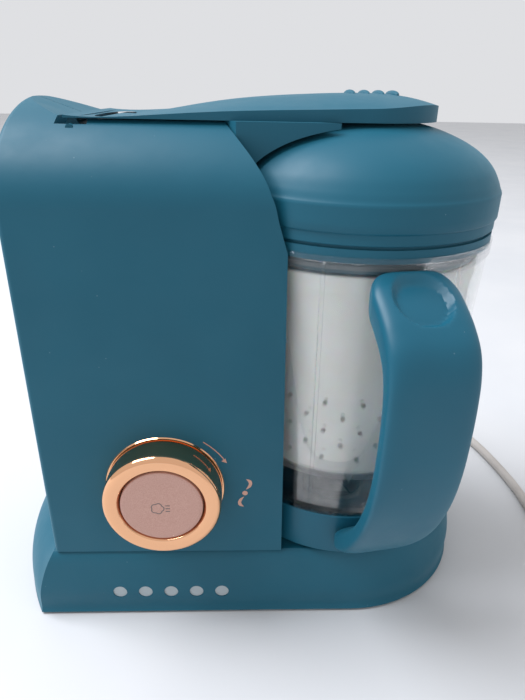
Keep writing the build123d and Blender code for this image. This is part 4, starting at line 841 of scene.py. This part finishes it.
def build_stage():
    """Lay the pale floor, set the camera and the soft studio light."""
    build_camera()
    work = bmesh.new()
    bmesh.ops.create_grid(work, x_segments=8, y_segments=8, size=6.0)
    mesh = bpy.data.meshes.new("floor")
    work.to_mesh(mesh)
    work.free()
    mesh.materials.append(material_of("table"))
    floor = bpy.data.objects.new("floor", mesh)
    bpy.context.scene.collection.objects.link(floor)
    world = bpy.data.worlds.new("studio")
    world.use_nodes = True
    background = world.node_tree.nodes["Background"]
    background.inputs["Color"].default_value = linear("ECEDF0")
    background.inputs["Strength"].default_value = 0.88
    bpy.context.scene.world = world
    bpy.context.scene.view_settings.view_transform = "Standard"
    add_light("window_light", (-1.6, 0.1, 2.6), (0, 0, 0.15), 1.8, 124, "F4F8FF")


# --- add-on --------------------------------------------------------------------------------------------
class FoodMakerSizes(bpy.types.PropertyGroup):
    """Sizes that can be changed without touching the CAD model."""

    lid_wall: bpy.props.FloatProperty(name="Lid wall", description="Thickness of the lid's shell",
                                      default=2.2 * MM, unit="LENGTH")
    lid_step: bpy.props.FloatProperty(name="Lid step", description="Height of the line round the lid's foot",
                                      default=4.6 * MM, unit="LENGTH")
    jug_wall: bpy.props.FloatProperty(name="Jug wall", description="Thickness of the clear wall",
                                      default=2.6 * MM, unit="LENGTH")
    cord_length: bpy.props.FloatProperty(name="Cord length", description="Length of the mains cord",
                                         default=0.95, unit="LENGTH")


class FoodMakerColours(bpy.types.PropertyGroup):
    """Colours of the mouldings."""

    shell: bpy.props.FloatVectorProperty(name="Shell", description="Colour of the housing and the lid",
                                         subtype="COLOR", default=linear("0D5468")[:3])
    shell_pale: bpy.props.FloatVectorProperty(name="Shell bloom", description="Paler tone of the lacquer",
                                              subtype="COLOR", default=linear("1C667B")[:3])
    grip: bpy.props.FloatVectorProperty(name="Grip", description="Colour of the band and the grip",
                                        subtype="COLOR", default=linear("105469")[:3])


class FOODMAKER_OT_stage(bpy.types.Operator):
    """Lay the floor and set the camera and the light."""

    bl_idname = "foodmaker.stage"
    bl_label = "Stage"

    def execute(self, context):
        build_stage()
        return {"FINISHED"}


class FOODMAKER_OT_cord(bpy.types.Operator):
    """Make the mains cord, its strain relief and its plug."""

    bl_idname = "foodmaker.cord"
    bl_label = "Mains cord"

    def execute(self, context):
        build_cord()
        return {"FINISHED"}


class FOODMAKER_OT_finishes(bpy.types.Operator):
    """Give every CAD node its finish."""

    bl_idname = "foodmaker.finishes"
    bl_label = "Finishes"

    def execute(self, context):
        finish_nodes()
        return {"FINISHED"}


class FOODMAKER_OT_lid(bpy.types.Operator):
    """Make the domed lid."""

    bl_idname = "foodmaker.lid"
    bl_label = "Lid"

    def execute(self, context):
        build_lid()
        return {"FINISHED"}


class FOODMAKER_OT_jug(bpy.types.Operator):
    """Make the clear jug."""

    bl_idname = "foodmaker.jug"
    bl_label = "Jug"

    def execute(self, context):
        build_jug()
        return {"FINISHED"}


class FOODMAKER_OT_handle(bpy.types.Operator):
    """Make the jug's band and grip."""

    bl_idname = "foodmaker.handle"
    bl_label = "Handle"

    def execute(self, context):
        build_handle()
        return {"FINISHED"}


class FOODMAKER_OT_dial(bpy.types.Operator):
    """Make the plated ring and the button in it."""

    bl_idname = "foodmaker.dial"
    bl_label = "Dial and button"

    def execute(self, context):
        build_dial()
        build_button()
        return {"FINISHED"}


class FOODMAKER_OT_marks(bpy.types.Operator):
    """Print the marks on the front panel."""

    bl_idname = "foodmaker.marks"
    bl_label = "Panel marks"

    def execute(self, context):
        build_panel_marks()
        return {"FINISHED"}


OPERATORS = (FOODMAKER_OT_stage, FOODMAKER_OT_cord, FOODMAKER_OT_finishes, FOODMAKER_OT_lid, FOODMAKER_OT_jug,
             FOODMAKER_OT_handle, FOODMAKER_OT_dial, FOODMAKER_OT_marks)


class FOODMAKER_PT_panel(bpy.types.Panel):
    """Lists the sizes, the colours and the pieces."""

    bl_idname = "FOODMAKER_PT_panel"
    bl_label = "Baby Food Maker"
    bl_space_type = "VIEW_3D"
    bl_region_type = "UI"
    bl_category = "Food Maker"

    def draw(self, context):
        for settings in (context.scene.food_maker_sizes, context.scene.food_maker_colours):
            for name in settings.__annotations__:
                self.layout.prop(settings, name)
        for operator in OPERATORS:
            self.layout.operator(operator.bl_idname)


CLASSES = (FoodMakerSizes, FoodMakerColours, *OPERATORS, FOODMAKER_PT_panel)


def register():
    """Register the classes and attach the settings to the scene."""
    for cls in CLASSES:
        bpy.utils.register_class(cls)
    bpy.types.Scene.food_maker_sizes = bpy.props.PointerProperty(type=FoodMakerSizes)
    bpy.types.Scene.food_maker_colours = bpy.props.PointerProperty(type=FoodMakerColours)


def unregister():
    """Detach the settings and unregister the classes."""
    del bpy.types.Scene.food_maker_colours
    del bpy.types.Scene.food_maker_sizes
    for cls in reversed(CLASSES):
        bpy.utils.unregister_class(cls)


def main():
    """Build everything in order."""
    register()
    for operator in OPERATORS:
        group, name = operator.bl_idname.split(".")
        getattr(getattr(bpy.ops, group), name)()


if __name__ == "__main__":
    main()
